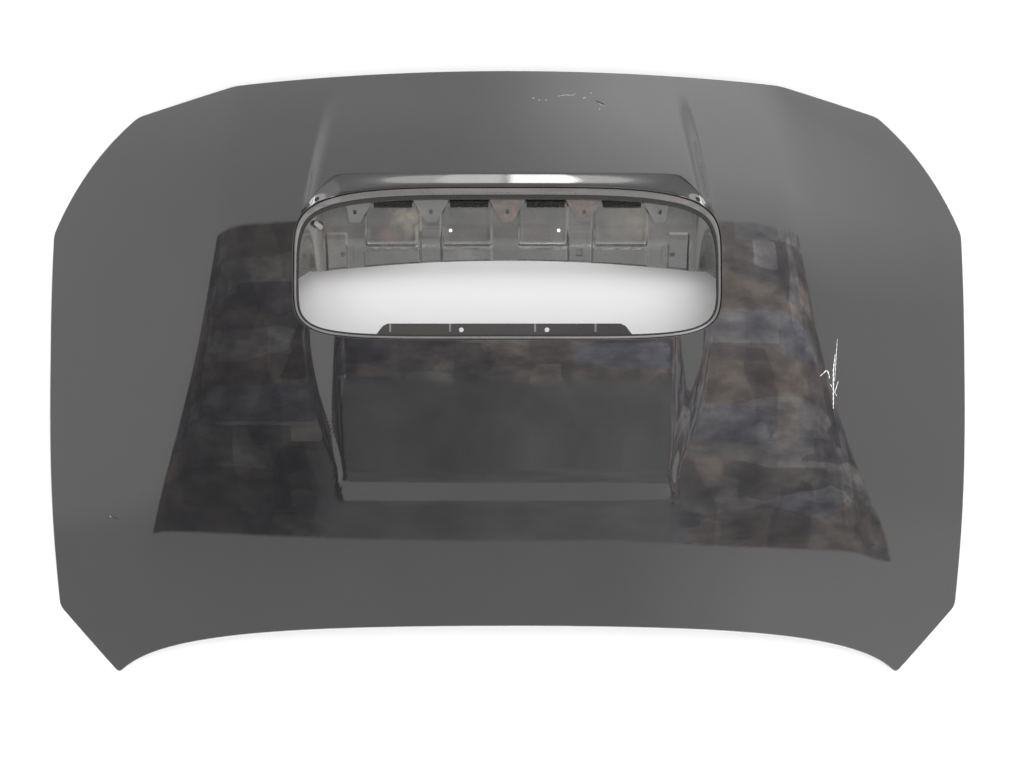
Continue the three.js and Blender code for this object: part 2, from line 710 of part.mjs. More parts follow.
function rearBracketGeometry() {
  const shape = new THREE.Shape();
  const back = REAR_WEB_Y - REAR_STRIP_Y;
  shape.moveTo(-REAR_STRIP_REAR_X, back);
  shape.lineTo(REAR_STRIP_REAR_X, back);
  shape.lineTo(REAR_STRIP_REAR_X, 0);
  shape.lineTo(REAR_STRIP_FRONT_X + REAR_STRIP_CHAMFER, REAR_STRIP_WIDTH - REAR_STRIP_CHAMFER);
  shape.lineTo(REAR_STRIP_FRONT_X - REAR_STRIP_CHAMFER, REAR_STRIP_WIDTH);
  shape.lineTo(REAR_STRIP_CHAMFER - REAR_STRIP_FRONT_X, REAR_STRIP_WIDTH);
  shape.lineTo(-REAR_STRIP_CHAMFER - REAR_STRIP_FRONT_X, REAR_STRIP_WIDTH - REAR_STRIP_CHAMFER);
  shape.lineTo(-REAR_STRIP_REAR_X, 0);
  [-REAR_HOLE_X, REAR_HOLE_X].forEach((x) => {
    const hole = new THREE.Path();
    hole.absarc(x, REAR_HOLE_Y, REAR_HOLE_RADIUS, 0, Math.PI * 2, true);
    shape.holes.push(hole);
  });
  let solid = toSolid(extrude(shape, TAB_SHEET, 5));
  REAR_FEET_X.forEach((x) => {
    const nearest = Math.max(0, Math.abs(x + REAR_STRIP_X) - REAR_FOOT_WIDTH / 2);
    const panelZ = innerWallHeight(nearest, REAR_WEB_Y);
    const height = REAR_STRIP_Z - panelZ - REAR_FOOT_CLEAR;
    const foot = new THREE.BoxGeometry(REAR_FOOT_WIDTH, TAB_SHEET, height);
    foot.translate(x, back + TAB_SHEET / 2, BITE - height / 2);
    solid = solid.add(toSolid(foot));
  });
  return toGeometry(solid);
}

// Foam strips between the tabs, oval in section
const FOAM_Y = 277;
const FOAM_LIFT = 6;
const FOAM_RADII = [7, 4.5];
const FOAM_END_GAP = 1;

function foamGeometry() {
  const width = TAB_PITCH - 2 * (TAB_TOP_HALF + FOAM_END_GAP);
  const shape = new THREE.Shape();
  shape.absellipse(0, 0, ...FOAM_RADII, 0, Math.PI * 2, false);
  const strip = extrude(shape, width, 3);
  strip.translate(0, 0, -width / 2);
  strip.rotateY(Math.PI / 2);
  strip.rotateX(Math.PI / 2);
  return strip;
}

function plateWithHoles(width, length, sheet, radius, holes, holeRadius) {
  const shape = roundedRectangle(width, length, radius);
  holes.forEach(([x, y]) => {
    const hole = new THREE.Path();
    hole.absarc(x, y, holeRadius, 0, Math.PI * 2, true);
    shape.holes.push(hole);
  });
  return extrude(shape, sheet, 4);
}

function nutGeometry(across, bore, height) {
  const shape = new THREE.Shape();
  for (let k = 0; k < 6; k += 1) {
    const angle = Math.PI * k / 3;
    const radius = across / Math.sqrt(3);
    const corner = [radius * Math.cos(angle), radius * Math.sin(angle)];
    if (k === 0) {
      shape.moveTo(...corner);
    } else {
      shape.lineTo(...corner);
    }
  }
  const hole = new THREE.Path();
  hole.absarc(0, 0, bore / 2, 0, Math.PI * 2, true);
  shape.holes.push(hole);
  return extrude(shape, height, 4);
}

// The striker's loop: a bent rod that hangs below its plate
function strikerGeometry(halfWidth, drop, radius) {
  const path = new THREE.CurvePath();
  const down = drop - halfWidth * 0.5;
  const corner = (x, y, z) => new THREE.Vector3(x, y, z);
  path.add(new THREE.LineCurve3(corner(-halfWidth, 0, 0), corner(-halfWidth, 0, -down)));
  path.add(new THREE.QuadraticBezierCurve3(
    corner(-halfWidth, 0, -down), corner(-halfWidth, 0, -drop), corner(0, 0, -drop)));
  path.add(new THREE.QuadraticBezierCurve3(
    corner(0, 0, -drop), corner(halfWidth, 0, -drop), corner(halfWidth, 0, -down)));
  path.add(new THREE.LineCurve3(corner(halfWidth, 0, -down), corner(halfWidth, 0, 0)));
  const section = new THREE.Shape();
  section.absarc(0, 0, radius, 0, Math.PI * 2, false);
  return new THREE.ExtrudeGeometry(section, { steps: 16, extrudePath: path, curveSegments: 4 });
}

addPiece('outer_skin', sweptSections(stations.map(skinSection)), paint);
const innerPanel = addPiece('inner_panel', innerPanelGeometry(), primer);
addPiece('scoop_seat_ring', sweptSections(stations.map(ringSection)), primer);

for (let k = 0; k < 5; k += 1) {
  const x = (k - 2) * TAB_PITCH;
  const outerHalf = k === 0 || k === 4 ? TAB_END_HALF : TAB_TOP_HALF;
  const tab = addPiece(`scoop_front_bracket_${k + 1}`, tabGeometry(x, outerHalf), primer);
  tab.position.set(x, TAB_TOP_Y, skinHeight(x, TAB_TOP_Y) - RING_STEP - TAB_DROP);
}

for (let k = 0; k < 4; k += 1) {
  const x = (k - 1.5) * TAB_PITCH;
  const strip = addPiece(`foam_strip_${k + 1}`, foamGeometry(), foam);
  standOn(strip, innerWallHeight, x, FOAM_Y, FOAM_LIFT);
}

const rearBracket = addPiece('scoop_rear_bracket', rearBracketGeometry(), primer);
rearBracket.position.set(REAR_STRIP_X, REAR_STRIP_Y, REAR_STRIP_Z);

// Small plates on the inner panel at both ends of the aperture, and the clip at its left front
const CORNER_PLACE = [268, 197];
const CORNER_SIZE = [34, 30];
const CORNER_SHEET = 1.2;
const CORNER_ROUND = 6;
const CORNER_HOLE = [0, -2];
const CORNER_HOLE_RADIUS = 4.6;
const CLIP_PLACE = [-307, 243];
const CLIP_SIZE = [16, 8];
const CLIP_TURN = -0.7;
const CLIP_HEIGHT = 4;
const CLIP_ROUND = 3;

const halves = ([width, length]) => [width / 2, length / 2];

[['left', -1], ['right', 1]].forEach(([side, sign]) => {
  const plate = plateWithHoles(
    ...CORNER_SIZE, CORNER_SHEET, CORNER_ROUND, [CORNER_HOLE], CORNER_HOLE_RADIUS);
  const corner = addPiece(`corner_plate_${side}`, plate, primer);
  layOn(corner, innerPanel, [sign * CORNER_PLACE[0], CORNER_PLACE[1]], halves(CORNER_SIZE), 1);
});

const clipGeometry = extrude(roundedRectangle(...CLIP_SIZE, CLIP_ROUND), CLIP_HEIGHT, 3);
const clip = addPiece('edge_clip', clipGeometry, paleClip);
layOn(clip, innerPanel, CLIP_PLACE, halves(CLIP_SIZE), 1, CLIP_TURN);

// Latch striker and its plate, under the nose
const STRIKER_Y = 436;
const STRIKER_SIZE = [76, 30];
const STRIKER_SHEET = 2;
const STRIKER_ROUND = 6;
const STRIKER_HOLES = [[-29, 0], [29, 0]];
const STRIKER_HOLE_RADIUS = 3.3;
const LOOP_HALF_WIDTH = 17;
const LOOP_DROP = 24;
const LOOP_ROD_RADIUS = 4;

const strikerFlat = plateWithHoles(
  ...STRIKER_SIZE, STRIKER_SHEET, STRIKER_ROUND, STRIKER_HOLES, STRIKER_HOLE_RADIUS);
strikerFlat.translate(0, 0, -STRIKER_SHEET);
const strikerPlate = addPiece('striker_plate', strikerFlat, steel);
layOn(strikerPlate, innerPanel, [0, STRIKER_Y], halves(STRIKER_SIZE), -1);
const loop = strikerGeometry(LOOP_HALF_WIDTH, LOOP_DROP, LOOP_ROD_RADIUS);
const striker = addPiece('latch_striker', loop, steel);
striker.quaternion.copy(strikerPlate.quaternion);
striker.position.copy(strikerPlate.position);
striker.translateZ(-STRIKER_SHEET - GAP);

// Hinge plates under the rear corners, with weld nuts above the inner panel
const HINGE_PLACE = [570, -379];
const HINGE_TURN = 0.84;
const HINGE_SIZE = [30, 76];
const HINGE_SHEET = 3;
const HINGE_ROUND = 7;
const HINGE_HOLE_PITCH = 44;
const HINGE_BORE = 9;
const NUT_ACROSS = 13;
const NUT_BORE = 8;
const NUT_HEIGHT = 5;

[['left', -1], ['right', 1]].forEach(([side, sign]) => {
  const place = [sign * HINGE_PLACE[0], HINGE_PLACE[1]];
  const turn = sign * HINGE_TURN;
  const holes = [[0, -HINGE_HOLE_PITCH / 2], [0, HINGE_HOLE_PITCH / 2]];
  const flat = plateWithHoles(...HINGE_SIZE, HINGE_SHEET, HINGE_ROUND, holes, HINGE_BORE / 2);
  flat.translate(0, 0, -HINGE_SHEET);
  const plate = addPiece(`hinge_plate_${side}`, flat, steel);
  layOn(plate, innerPanel, place, halves(HINGE_SIZE), -1, turn);
  [['rear', -1], ['front', 1]].forEach(([end, step]) => {
    const reach = step * HINGE_HOLE_PITCH / 2;
    const spot = [place[0] - reach * Math.sin(turn), place[1] + reach * Math.cos(turn)];
    const geometry = nutGeometry(NUT_ACROSS, NUT_BORE, NUT_HEIGHT);
    const nut = addPiece(`hinge_nut_${side}_${end}`, geometry, steel);
    layOn(nut, innerPanel, spot, [NUT_ACROSS / 2, NUT_ACROSS / 2], 1);
  });
});

// Mastic pads between the inner panel's ribs and the skin
const PAD_RADIUS = 10;
const PAD_HEIGHT = 5;
const PAD_PLACES = [[428, 190], [432, 0], [440, -190], [424, -290], [209, -284], [392, 352]];
PAD_PLACES.forEach(([x, y], row) => {
  [-1, 1].forEach((sign, side) => {
    const pad = new THREE.CylinderGeometry(PAD_RADIUS * 0.8, PAD_RADIUS, PAD_HEIGHT, 12);
    pad.rotateX(Math.PI / 2);
    pad.translate(0, 0, PAD_HEIGHT / 2);
    const name = `mastic_pad_${String(2 * row + side + 1).padStart(2, '0')}`;
    layOn(addPiece(name, pad, mastic), innerPanel, [sign * x, y], [PAD_RADIUS, PAD_RADIUS], 1);
  });
});

export default bonnet;
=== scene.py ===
"""A gloss black car bonnet with a scoop aperture, lying on a pale floor, seen from above."""
import math

import bmesh
import bpy
import numpy as np
from mathutils import Matrix, Vector


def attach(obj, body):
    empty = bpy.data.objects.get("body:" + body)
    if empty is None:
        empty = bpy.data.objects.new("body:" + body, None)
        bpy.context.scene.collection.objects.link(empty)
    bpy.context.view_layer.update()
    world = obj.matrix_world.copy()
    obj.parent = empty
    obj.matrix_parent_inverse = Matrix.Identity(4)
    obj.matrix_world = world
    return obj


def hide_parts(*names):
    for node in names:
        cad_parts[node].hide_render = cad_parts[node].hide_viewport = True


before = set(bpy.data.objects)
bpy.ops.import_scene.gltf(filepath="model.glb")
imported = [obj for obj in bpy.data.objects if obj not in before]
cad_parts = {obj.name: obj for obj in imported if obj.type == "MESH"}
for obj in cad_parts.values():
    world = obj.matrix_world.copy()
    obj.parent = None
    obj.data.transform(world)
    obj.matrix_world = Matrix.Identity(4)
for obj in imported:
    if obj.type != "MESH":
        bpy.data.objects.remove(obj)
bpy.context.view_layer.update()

MM = 0.001

# Outline of one half in millimetres, before it is centred on its box
NOSE_Y = 494
LAMP_INNER = (447, 472)
LAMP_MID = (610, 424)
LAMP_OUTER = (750, 230)
LAMP_BOW = (702, 343)
SIDE_BOW = (757, -68)
REAR_OUTER = (739, -383)
REAR_TIP = (642, -494)
REAR_MIDDLE_Y = -406
REAR_BOW_TIP = (588, -436)
REAR_BOW_MIDDLE = (430, -406)
CORNER_CUT = 9
STATION_STEP = 9.0

# Crown
LENGTH_RADIUS = 2400
WIDTH_RADIUS = 4600
PITCH = 0.0138
NOSE_DROP_START = 332
NOSE_DROP = 26
SHOULDER_SLOPE = 0.123
SHOULDER_X = 488
SHOULDER_Y = 64
SHOULDER_FRONT_TAPER = 0.13
SHOULDER_REAR_TAPER = 0.27
SHOULDER_BLEND = 26
SHOULDER_TURN = 120

# Front ramp and the wall behind its lip
RAMP_HEIGHT = 16
RAMP_START_Y = 480
RAMP_END_Y = 286
RAMP_FADE = 34
RAMP_FOOT_X = 302
RAMP_FOOT_Y = 415
RAMP_FOOT_TAPER = 0.19
RAMP_SIDE_WIDTH = 30
LIP_Y = 318
LIP_CORNER_X = 276
LIP_CORNER_ROUND = 8
LIP_DIAGONAL = (0.729, 0.684)
LIP_SLANT_LENGTH = 67
LIP_WALL_MARGIN = 3
LIP_WALL_END = 7

# Rear bulge
BULGE_FRONT_HEIGHT = 8.6
BULGE_FULL_Y = 130
BULGE_REAR_HEIGHT = 2.8
BULGE_MIDDLE_Y = -150
BULGE_END_Y = -215
BULGE_TOP_X = 261
BULGE_FOOT_X = 324
BULGE_FOOT_Y = 65
BULGE_FOOT_RUN = 216
BULGE_FOOT_PULL = 53

# Aperture
HOLE_HALF_WIDTH = 342
HOLE_HALF_LENGTH = 122
HOLE_Y = 175.5
HOLE_POWER_FRONT = 4.2
HOLE_POWER_REAR = 5.8
RIM_DEPTH = 4

# Sheet metal
SKIN = 1.0
INNER = 0.9
GAP = 0.35
HEM_WIDTH = 13
FLANGE_DEPTH = SKIN + GAP
HEM_TOP = FLANGE_DEPTH + INNER + GAP
HEM_DEPTH = HEM_TOP + SKIN
CHANNEL_OUTER_DEPTH = 9
CHANNEL_DEPTH = 20
RIB_DEPTH = 9
COLLAR_DEPTH = 14
COLLAR_REACH = 18

# Front wall of the inner panel, inside the aperture
WALL_TOP_Y = 313.6
WALL_TOP_DEPTH = 20
WALL_SLOPE = 0.32
WALL_EDGE_Y = 184.6
WALL_EDGE_BOW = 18.4
WALL_EDGE_X = 322
INNER_SIDE_X = 347
INNER_SIDE_FRONT_Y = 142
INNER_SIDE_REAR_Y = 97
INNER_REAR_X = 300
INNER_REAR_Y = 48

# Ring flange
RING_SHEET = 1.2
RING_STEP = RIM_DEPTH + 0.5
RING_GROOVE = 1.2
RING_WALL = 8
RING_LAP = 12
LAP_GAP = 1.8
RING_SEAT_SIDE = 8
RING_SEAT_FRONT = 19

# The share of the aperture's half outline that each stretch of the outer outline reaches
REACHES = (0.28, 0.36, 0.435, 0.585, 0.64, 1.0)
INNER_REACHES = (0.31, 0.41, 0.455, 0.53, 0.59, 1.0)


def smooth(low, high, value):
    t = np.clip((value - low) / (high - low), 0, 1)
    return t * t * (3 - 2 * t)


def soft_ramp(value, width):
    return 0.5 * (value + np.sqrt(value * value + width * width))


def crown(x, y):
    """Height of the plain crowned panel."""
    front_pull = SHOULDER_FRONT_TAPER * soft_ramp(y - SHOULDER_Y, SHOULDER_TURN)
    rear_push = SHOULDER_REAR_TAPER * soft_ramp(SHOULDER_Y - y, SHOULDER_TURN)
    shoulder = soft_ramp(np.abs(x) - (SHOULDER_X - front_pull + rear_push), SHOULDER_BLEND)
    fade = 1 - 0.6 * smooth(SHOULDER_Y, -300, y)
    nose = soft_ramp(y - NOSE_DROP_START, 20) / (NOSE_Y - NOSE_DROP_START)
    arched = PITCH * y - y * y / (2 * LENGTH_RADIUS) - x * x / (2 * WIDTH_RADIUS)
    return arched - NOSE_DROP * nose * nose - SHOULDER_SLOPE * fade * shoulder


def lip_wall_width(across, y):
    """From the lip to the rim, and narrower along the lip's slanted ends."""
    share = np.minimum(across, LIP_CORNER_X) / HOLE_HALF_WIDTH
    rim_bow = (1 - share ** HOLE_POWER_FRONT) ** (1 / HOLE_POWER_FRONT)
    straight = LIP_Y - (HOLE_Y + HOLE_HALF_LENGTH * rim_bow) - LIP_WALL_MARGIN
    slant = (across - LIP_CORNER_X) * LIP_DIAGONAL[1] - (y - LIP_Y) * LIP_DIAGONAL[0]
    return straight + (LIP_WALL_END - straight) * np.clip(slant / LIP_SLANT_LENGTH, 0, 1)


def front_ramp(x, y):
    across = np.abs(x)
    foot = RAMP_FOOT_X + RAMP_FOOT_TAPER * (RAMP_FOOT_Y - y)
    rise = smooth(RAMP_START_Y, LIP_Y, y)
    inwards = np.clip((foot - across) / RAMP_SIDE_WIDTH, 0, 1)
    side = smooth(0, 1, 1 - (1 - inwards) ** 1.5)
    ahead = y - LIP_Y
    diagonal = (across - LIP_CORNER_X) * LIP_DIAGONAL[0] + ahead * LIP_DIAGONAL[1]
    past_lip = ahead + soft_ramp(diagonal - ahead, LIP_CORNER_ROUND)
    wall_share = np.clip(1 + past_lip / lip_wall_width(across, y), 0, 1)
    wall = 0.7 * wall_share + 0.3 * smooth(0, 1, wall_share)
    end = smooth(RAMP_END_Y - RAMP_FADE, RAMP_END_Y, y)
    return RAMP_HEIGHT * rise * side * wall * end


def rear_bulge(x, y):
    run = np.maximum(0, BULGE_FOOT_Y - y) / BULGE_FOOT_RUN
    foot = np.maximum(BULGE_TOP_X + 10, BULGE_FOOT_X - BULGE_FOOT_PULL * run * run)
    side = 1 - smooth(0, 1, (np.abs(x) - BULGE_TOP_X) / (foot - BULGE_TOP_X))
    front = BULGE_FRONT_HEIGHT * smooth(BULGE_MIDDLE_Y, BULGE_FULL_Y, y)
    rear = BULGE_REAR_HEIGHT * smooth(BULGE_END_Y, BULGE_MIDDLE_Y, y)
    return (front + rear) * side * (1 - smooth(HOLE_Y - 60, HOLE_Y, y))


def skin_height(x, y):
    return crown(x, y) + front_ramp(x, y) + rear_bulge(x, y)


def slope_factor(height, x, y):
    step = 0.5
    slope_x = (height(x + step, y) - height(x - step, y)) / (2 * step)
    slope_y = (height(x, y + step) - height(x, y - step)) / (2 * step)
    return np.sqrt(1 + slope_x ** 2 + slope_y ** 2)


def below(height, places, depth):
    """Points a true depth under a sloping surface."""
    x, y = places[..., 0], places[..., 1]
    z = height(x, y) - depth * slope_factor(height, x, y)
    return np.stack([x, y, z], axis=-1)


def above(places, z):
    return np.concatenate([places, np.broadcast_to(z, places.shape[:-1])[..., None]], axis=-1)


# Outlines
def bezier(points, t):
    """Points of a Bezier curve of any degree at the values t."""
    rows = [np.broadcast_to(np.asarray(p, float), (len(t), 2)) for p in points]
    t = t[:, None]
    while len(rows) > 1:
        rows = [a * (1 - t) + b * t for a, b in zip(rows[:-1], rows[1:])]
    return rows[0]


def lengths_along(points):
    return np.concatenate([[0], np.cumsum(np.linalg.norm(np.diff(points, axis=0), axis=1))])


def resample(points, shares):
    along = lengths_along(points)
    wanted = np.asarray(shares) * along[-1]
    return np.stack([np.interp(wanted, along, points[:, k]) for k in (0, 1)], axis=-1)


def half_stations():
    """Points of the half outline with rounded corners, and their shares of the aperture."""
    controls = [
        [(0, NOSE_Y), (LAMP_INNER[0] / 2, NOSE_Y), LAMP_INNER],
        [LAMP_INNER, LAMP_MID],
        [LAMP_MID, LAMP_BOW, LAMP_OUTER],
        [LAMP_OUTER, SIDE_BOW, REAR_OUTER],
        [REAR_OUTER, REAR_TIP],
        [REAR_TIP, REAR_BOW_TIP, REAR_BOW_MIDDLE, (0, REAR_MIDDLE_Y)],
    ]
    places, shares = [], []
    reached = 0
    previous_end = None
    for index, (control, reach) in enumerate(zip(controls, REACHES)):
        fine = bezier(control, np.linspace(0, 1, 400))
        length = lengths_along(fine)[-1]
        first = 0 if index == 0 else CORNER_CUT / length
        last = 1 if index == len(controls) - 1 else 1 - CORNER_CUT / length
        count = max(4, round(length / STATION_STEP))
        u = np.linspace(first, last, count + 1)
        stretch = resample(fine, u)
        share = reached + (reach - reached) * u
        if previous_end is not None:
            t = np.array([0.2, 0.4, 0.6, 0.8])
            places.append(bezier([previous_end[0], control[0], stretch[0]], t))
            shares.append(previous_end[1] + (share[0] - previous_end[1]) * t)
        places.append(stretch)
        shares.append(share)
        previous_end = (stretch[-1], share[-1])
        reached = reach
    return np.concatenate(places), np.concatenate(shares)


def half_aperture():
    angle = np.linspace(math.pi / 2, -math.pi / 2, 801)
    cos, sin = np.cos(angle), np.sin(angle)
    power = np.where(sin > 0, HOLE_POWER_FRONT, HOLE_POWER_REAR)
    scale = (np.abs(cos) ** power + np.abs(sin) ** power) ** (-1 / power)
    return np.stack([HOLE_HALF_WIDTH * scale * cos, HOLE_Y + HOLE_HALF_LENGTH * scale * sin], axis=-1)


def half_inner_opening():
    x = np.linspace(0, WALL_EDGE_X, 60)
    arc = np.stack([x, WALL_EDGE_Y - WALL_EDGE_BOW * (x / WALL_EDGE_X) ** 2], axis=-1)
    hidden = [
        (INNER_SIDE_X, INNER_SIDE_FRONT_Y), (INNER_SIDE_X, INNER_SIDE_REAR_Y),
        (INNER_REAR_X, INNER_REAR_Y), (0, INNER_REAR_Y),
    ]
    return np.concatenate([arc, np.array(hidden, float)])


def mirrored(half):
    left = half[-2:0:-1].copy()
    left[:, 0] *= -1
    return np.concatenate([half, left])


class Stations:
    """The lines that join the outer edge to the aperture all round the panel."""

    def __init__(self):
        edge, share = half_stations()
        inner_share = np.interp(share, (0,) + REACHES, (0,) + INNER_REACHES)
        self.edge = mirrored(edge)
        self.rim = mirrored(resample(half_aperture(), share))
        self.inner = mirrored(resample(half_inner_opening(), inner_share))
        along = self.rim - self.edge
        self.length = np.linalg.norm(along, axis=1)
        self.along = along / self.length[:, None]
        self.edge_stretch = 1 / np.maximum(0.4, self.square(self.edge))
        self.rim_stretch = 1 / np.maximum(0.45, self.square(self.rim))

    def square(self, outline):
        """How squarely each line meets an outline, from 0 to 1."""
        tangent = np.roll(outline, -1, axis=0) - np.roll(outline, 1, axis=0)
        tangent /= np.linalg.norm(tangent, axis=1)[:, None]
        return np.abs(tangent[:, 0] * self.along[:, 1] - tangent[:, 1] * self.along[:, 0])

    def from_edge(self, distance):
        return self.edge + self.along * (distance * self.edge_stretch)[:, None]

    def from_rim(self, distance):
        return self.rim - self.along * (distance * self.rim_stretch)[:, None]


stations = Stations()
edge_low = (crown(stations.edge[:, 0], stations.edge[:, 1])).min()
MIDDLE_Y = (stations.edge[:, 1].min() + stations.edge[:, 1].max()) / 2
REST_HEIGHT = HEM_DEPTH - edge_low
PLACE = np.array([0, -MIDDLE_Y, REST_HEIGHT])


# Meshes
def new_object(name, points, faces, materials, smooth_angle=35):
    """A mesh object from points in millimetres in the outline's own place."""
    mesh = bpy.data.meshes.new(name)
    mesh.from_pydata(((np.asarray(points) + PLACE) * MM).tolist(), [], faces)
    mesh.validate()
    for material in materials:
        mesh.materials.append(material)
    obj = bpy.data.objects.new(name, mesh)
    bpy.context.scene.collection.objects.link(obj)
    mesh.polygons.foreach_set("use_smooth", [True] * len(mesh.polygons))
    mesh.set_sharp_from_angle(angle=math.radians(smooth_angle))
    return obj


def closed_sheet(name, sections, materials, smooth_angle=35):
    """A sheet that closes both round the panel and round its own section."""
    count, across = sections.shape[:2]
    i = np.arange(count)[:, None]
    j = np.arange(across)[None, :]
    next_i = (i + 1) % count
    next_j = (j + 1) % across
    a = i * across + j
    b = next_i * across + j
    c = next_i * across + next_j
    d = i * across + next_j
    faces = np.stack([a, b, c, d], axis=-1).reshape(-1, 4)
    points = sections.reshape(-1, 3)
    p = points[faces]
    volume = np.einsum("ij,ij->i", p[:, 0], np.cross(p[:, 1], p[:, 2])).sum()
    if volume < 0:
        faces = faces[:, ::-1]
    return new_object(name, points, faces.tolist(), materials, smooth_angle)


def bent_places(rings, bend_gain=26.0, samples=400):
    """Places along each line, closer together where the skin's slope changes."""
    start = HEM_WIDTH * stations.edge_stretch
    end = stations.length - 6 * stations.rim_stretch
    t = np.linspace(0, 1, samples)
    distance = start[:, None] + (end - start)[:, None] * t
    places = stations.edge[:, None] + stations.along[:, None] * distance[..., None]
    height = skin_height(places[..., 0], places[..., 1])
    step = (end - start)[:, None] / (samples - 1)
    bend = np.abs(height[:, 2:] - 2 * height[:, 1:-1] + height[:, :-2]) / step ** 2
    bend = np.pad(bend, ((0, 0), (1, 1)), mode="edge")
    weight = step * (1 + bend_gain * np.sqrt(bend))
    reached = np.cumsum(weight, axis=1) - weight[:, :1]
    chosen = []
    for row, far in zip(reached, distance):
        chosen.append(np.interp(np.linspace(0, row[-1], rings + 1), row, far))
    chosen = np.array(chosen)
    return stations.edge[:, None] + stations.along[:, None] * chosen[..., None]


# Materials
def material(name):
    mat = bpy.data.materials.new(name)
    mat.use_nodes = True
    tree = mat.node_tree
    return mat, tree, tree.nodes["Principled BSDF"]


def node(tree, kind, **settings):
    made = tree.nodes.new(kind)
    for key, value in settings.items():
        setattr(made, key, value)
    return made


def noise(tree, scale, detail=4, roughness=0.55):
    coords = node(tree, "ShaderNodeTexCoord")
    made = node(tree, "ShaderNodeTexNoise")
    made.inputs["Scale"].default_value = scale
    made.inputs["Detail"].default_value = detail
    made.inputs["Roughness"].default_value = roughness
    tree.links.new(coords.outputs["Object"], made.inputs["Vector"])
    return made.outputs["Fac"]


def ramp(tree, source, stops):
    made = node(tree, "ShaderNodeValToRGB")
    elements = made.color_ramp.elements
    while len(elements) < len(stops):
        elements.new(0.5)
    for element, (position, colour) in zip(elements, stops):
        element.position = position
        element.color = (*colour, 1)
    tree.links.new(source, made.inputs["Fac"])
    return made.outputs["Color"]


def spread(tree, source, low, high, out_low, out_high):
    made = node(tree, "ShaderNodeMapRange")
    for key, value in zip(("From Min", "From Max", "To Min", "To Max"), (low, high, out_low, out_high)):
        made.inputs[key].default_value = value
    tree.links.new(source, made.inputs["Value"])
    return made.outputs["Result"]


def bump(tree, shader, source, strength, distance, socket="Normal"):
    made = node(tree, "ShaderNodeBump")
    made.inputs["Strength"].default_value = strength
    made.inputs["Distance"].default_value = distance
    tree.links.new(source, made.inputs["Height"])
    tree.links.new(made.outputs["Normal"], shader.inputs[socket])


def gloss_paint():
    mat, tree, shader = material("gloss_black_paint")
    colour = ramp(tree, noise(tree, 9, 6), [(0.3, (0.003, 0.003, 0.004)), (0.7, (0.005, 0.005, 0.006))])
    tree.links.new(colour, shader.inputs["Base Color"])
    dust = noise(tree, 900, 3, 0.7)
    tree.links.new(spread(tree, dust, 0.35, 0.75, 0.16, 0.32), shader.inputs["Roughness"])
    shader.inputs["Specular IOR Level"].default_value = 0.25
    shader.inputs["Coat Weight"].default_value = 1.0
    shader.inputs["Coat Roughness"].default_value = 0.006
    shader.inputs["Coat IOR"].default_value = 1.6
    bump(tree, shader, noise(tree, 700, 2, 0.6), 0.2, 0.0004)
    bump(tree, shader, noise(tree, 150, 2, 0.5), 0.012, 0.0005, "Coat Normal")
    return mat


def dust_patch(tree, place, radius):
    """A soft-edged mask round a place in metres, broken up by noise."""
    coords = node(tree, "ShaderNodeTexCoord")
    distance = node(tree, "ShaderNodeVectorMath", operation="DISTANCE")
    tree.links.new(coords.outputs["Object"], distance.inputs[0])
    distance.inputs[1].default_value = place
    near = spread(tree, distance.outputs["Value"], 0.4 * radius, 1.1 * radius, 1, 0)
    product = node(tree, "ShaderNodeMath", operation="MULTIPLY")
    tree.links.new(near, product.inputs[0])
    tree.links.new(spread(tree, noise(tree, 60, 6), 0.32, 0.6, 0, 1), product.inputs[1])
    return product.outputs["Value"]


def inner_paint():
    mat, tree, shader = material("semi_gloss_primer")
    stops = [(0.3, 0.036), (0.5, 0.052), (0.62, 0.066), (0.76, 0.1)]
    warm = (1.0, 0.99, 0.96)
    warm_stops = [(at, tuple(level * share for share in warm)) for at, level in stops]
    colour = ramp(tree, noise(tree, 14, 6, 0.6), warm_stops)
    for place, radius, dust in DUST:
        mix = node(tree, "ShaderNodeMix", data_type="RGBA")
        tree.links.new(dust_patch(tree, place, radius), mix.inputs["Factor"])
        tree.links.new(colour, mix.inputs["A"])
        mix.inputs["B"].default_value = (*dust, 1)
        colour = mix.outputs["Result"]
    tree.links.new(colour, shader.inputs["Base Color"])
    tree.links.new(spread(tree, noise(tree, 50, 4), 0.3, 0.7, 0.2, 0.34), shader.inputs["Roughness"])
    shader.inputs["Specular IOR Level"].default_value = 0.8
    shader.inputs["Coat Weight"].default_value = 0.9
    shader.inputs["Coat Roughness"].default_value = 0.07
    bump(tree, shader, noise(tree, 260, 3), 0.1, 0.0003)
    return mat


def dusty_gloss(name, shade, coat_ior):
    """Gloss paint with a thin veil of dust, for the ring and the rear strip."""
    mat, tree, shader = material(name)
    colour = ramp(tree, noise(tree, 18, 4), [
        (0.3, tuple(0.8 * level for level in shade)), (0.7, tuple(1.25 * level for level in shade))])
    tree.links.new(colour, shader.inputs["Base Color"])
    tree.links.new(spread(tree, noise(tree, 60, 3), 0.3, 0.7, 0.24, 0.36), shader.inputs["Roughness"])
    shader.inputs["Specular IOR Level"].default_value = coat_ior - 1
    shader.inputs["Coat Weight"].default_value = 1.0
    shader.inputs["Coat Roughness"].default_value = 0.1
    shader.inputs["Coat IOR"].default_value = coat_ior
    bump(tree, shader, noise(tree, 60, 2), 0.04, 0.0003)
    return mat


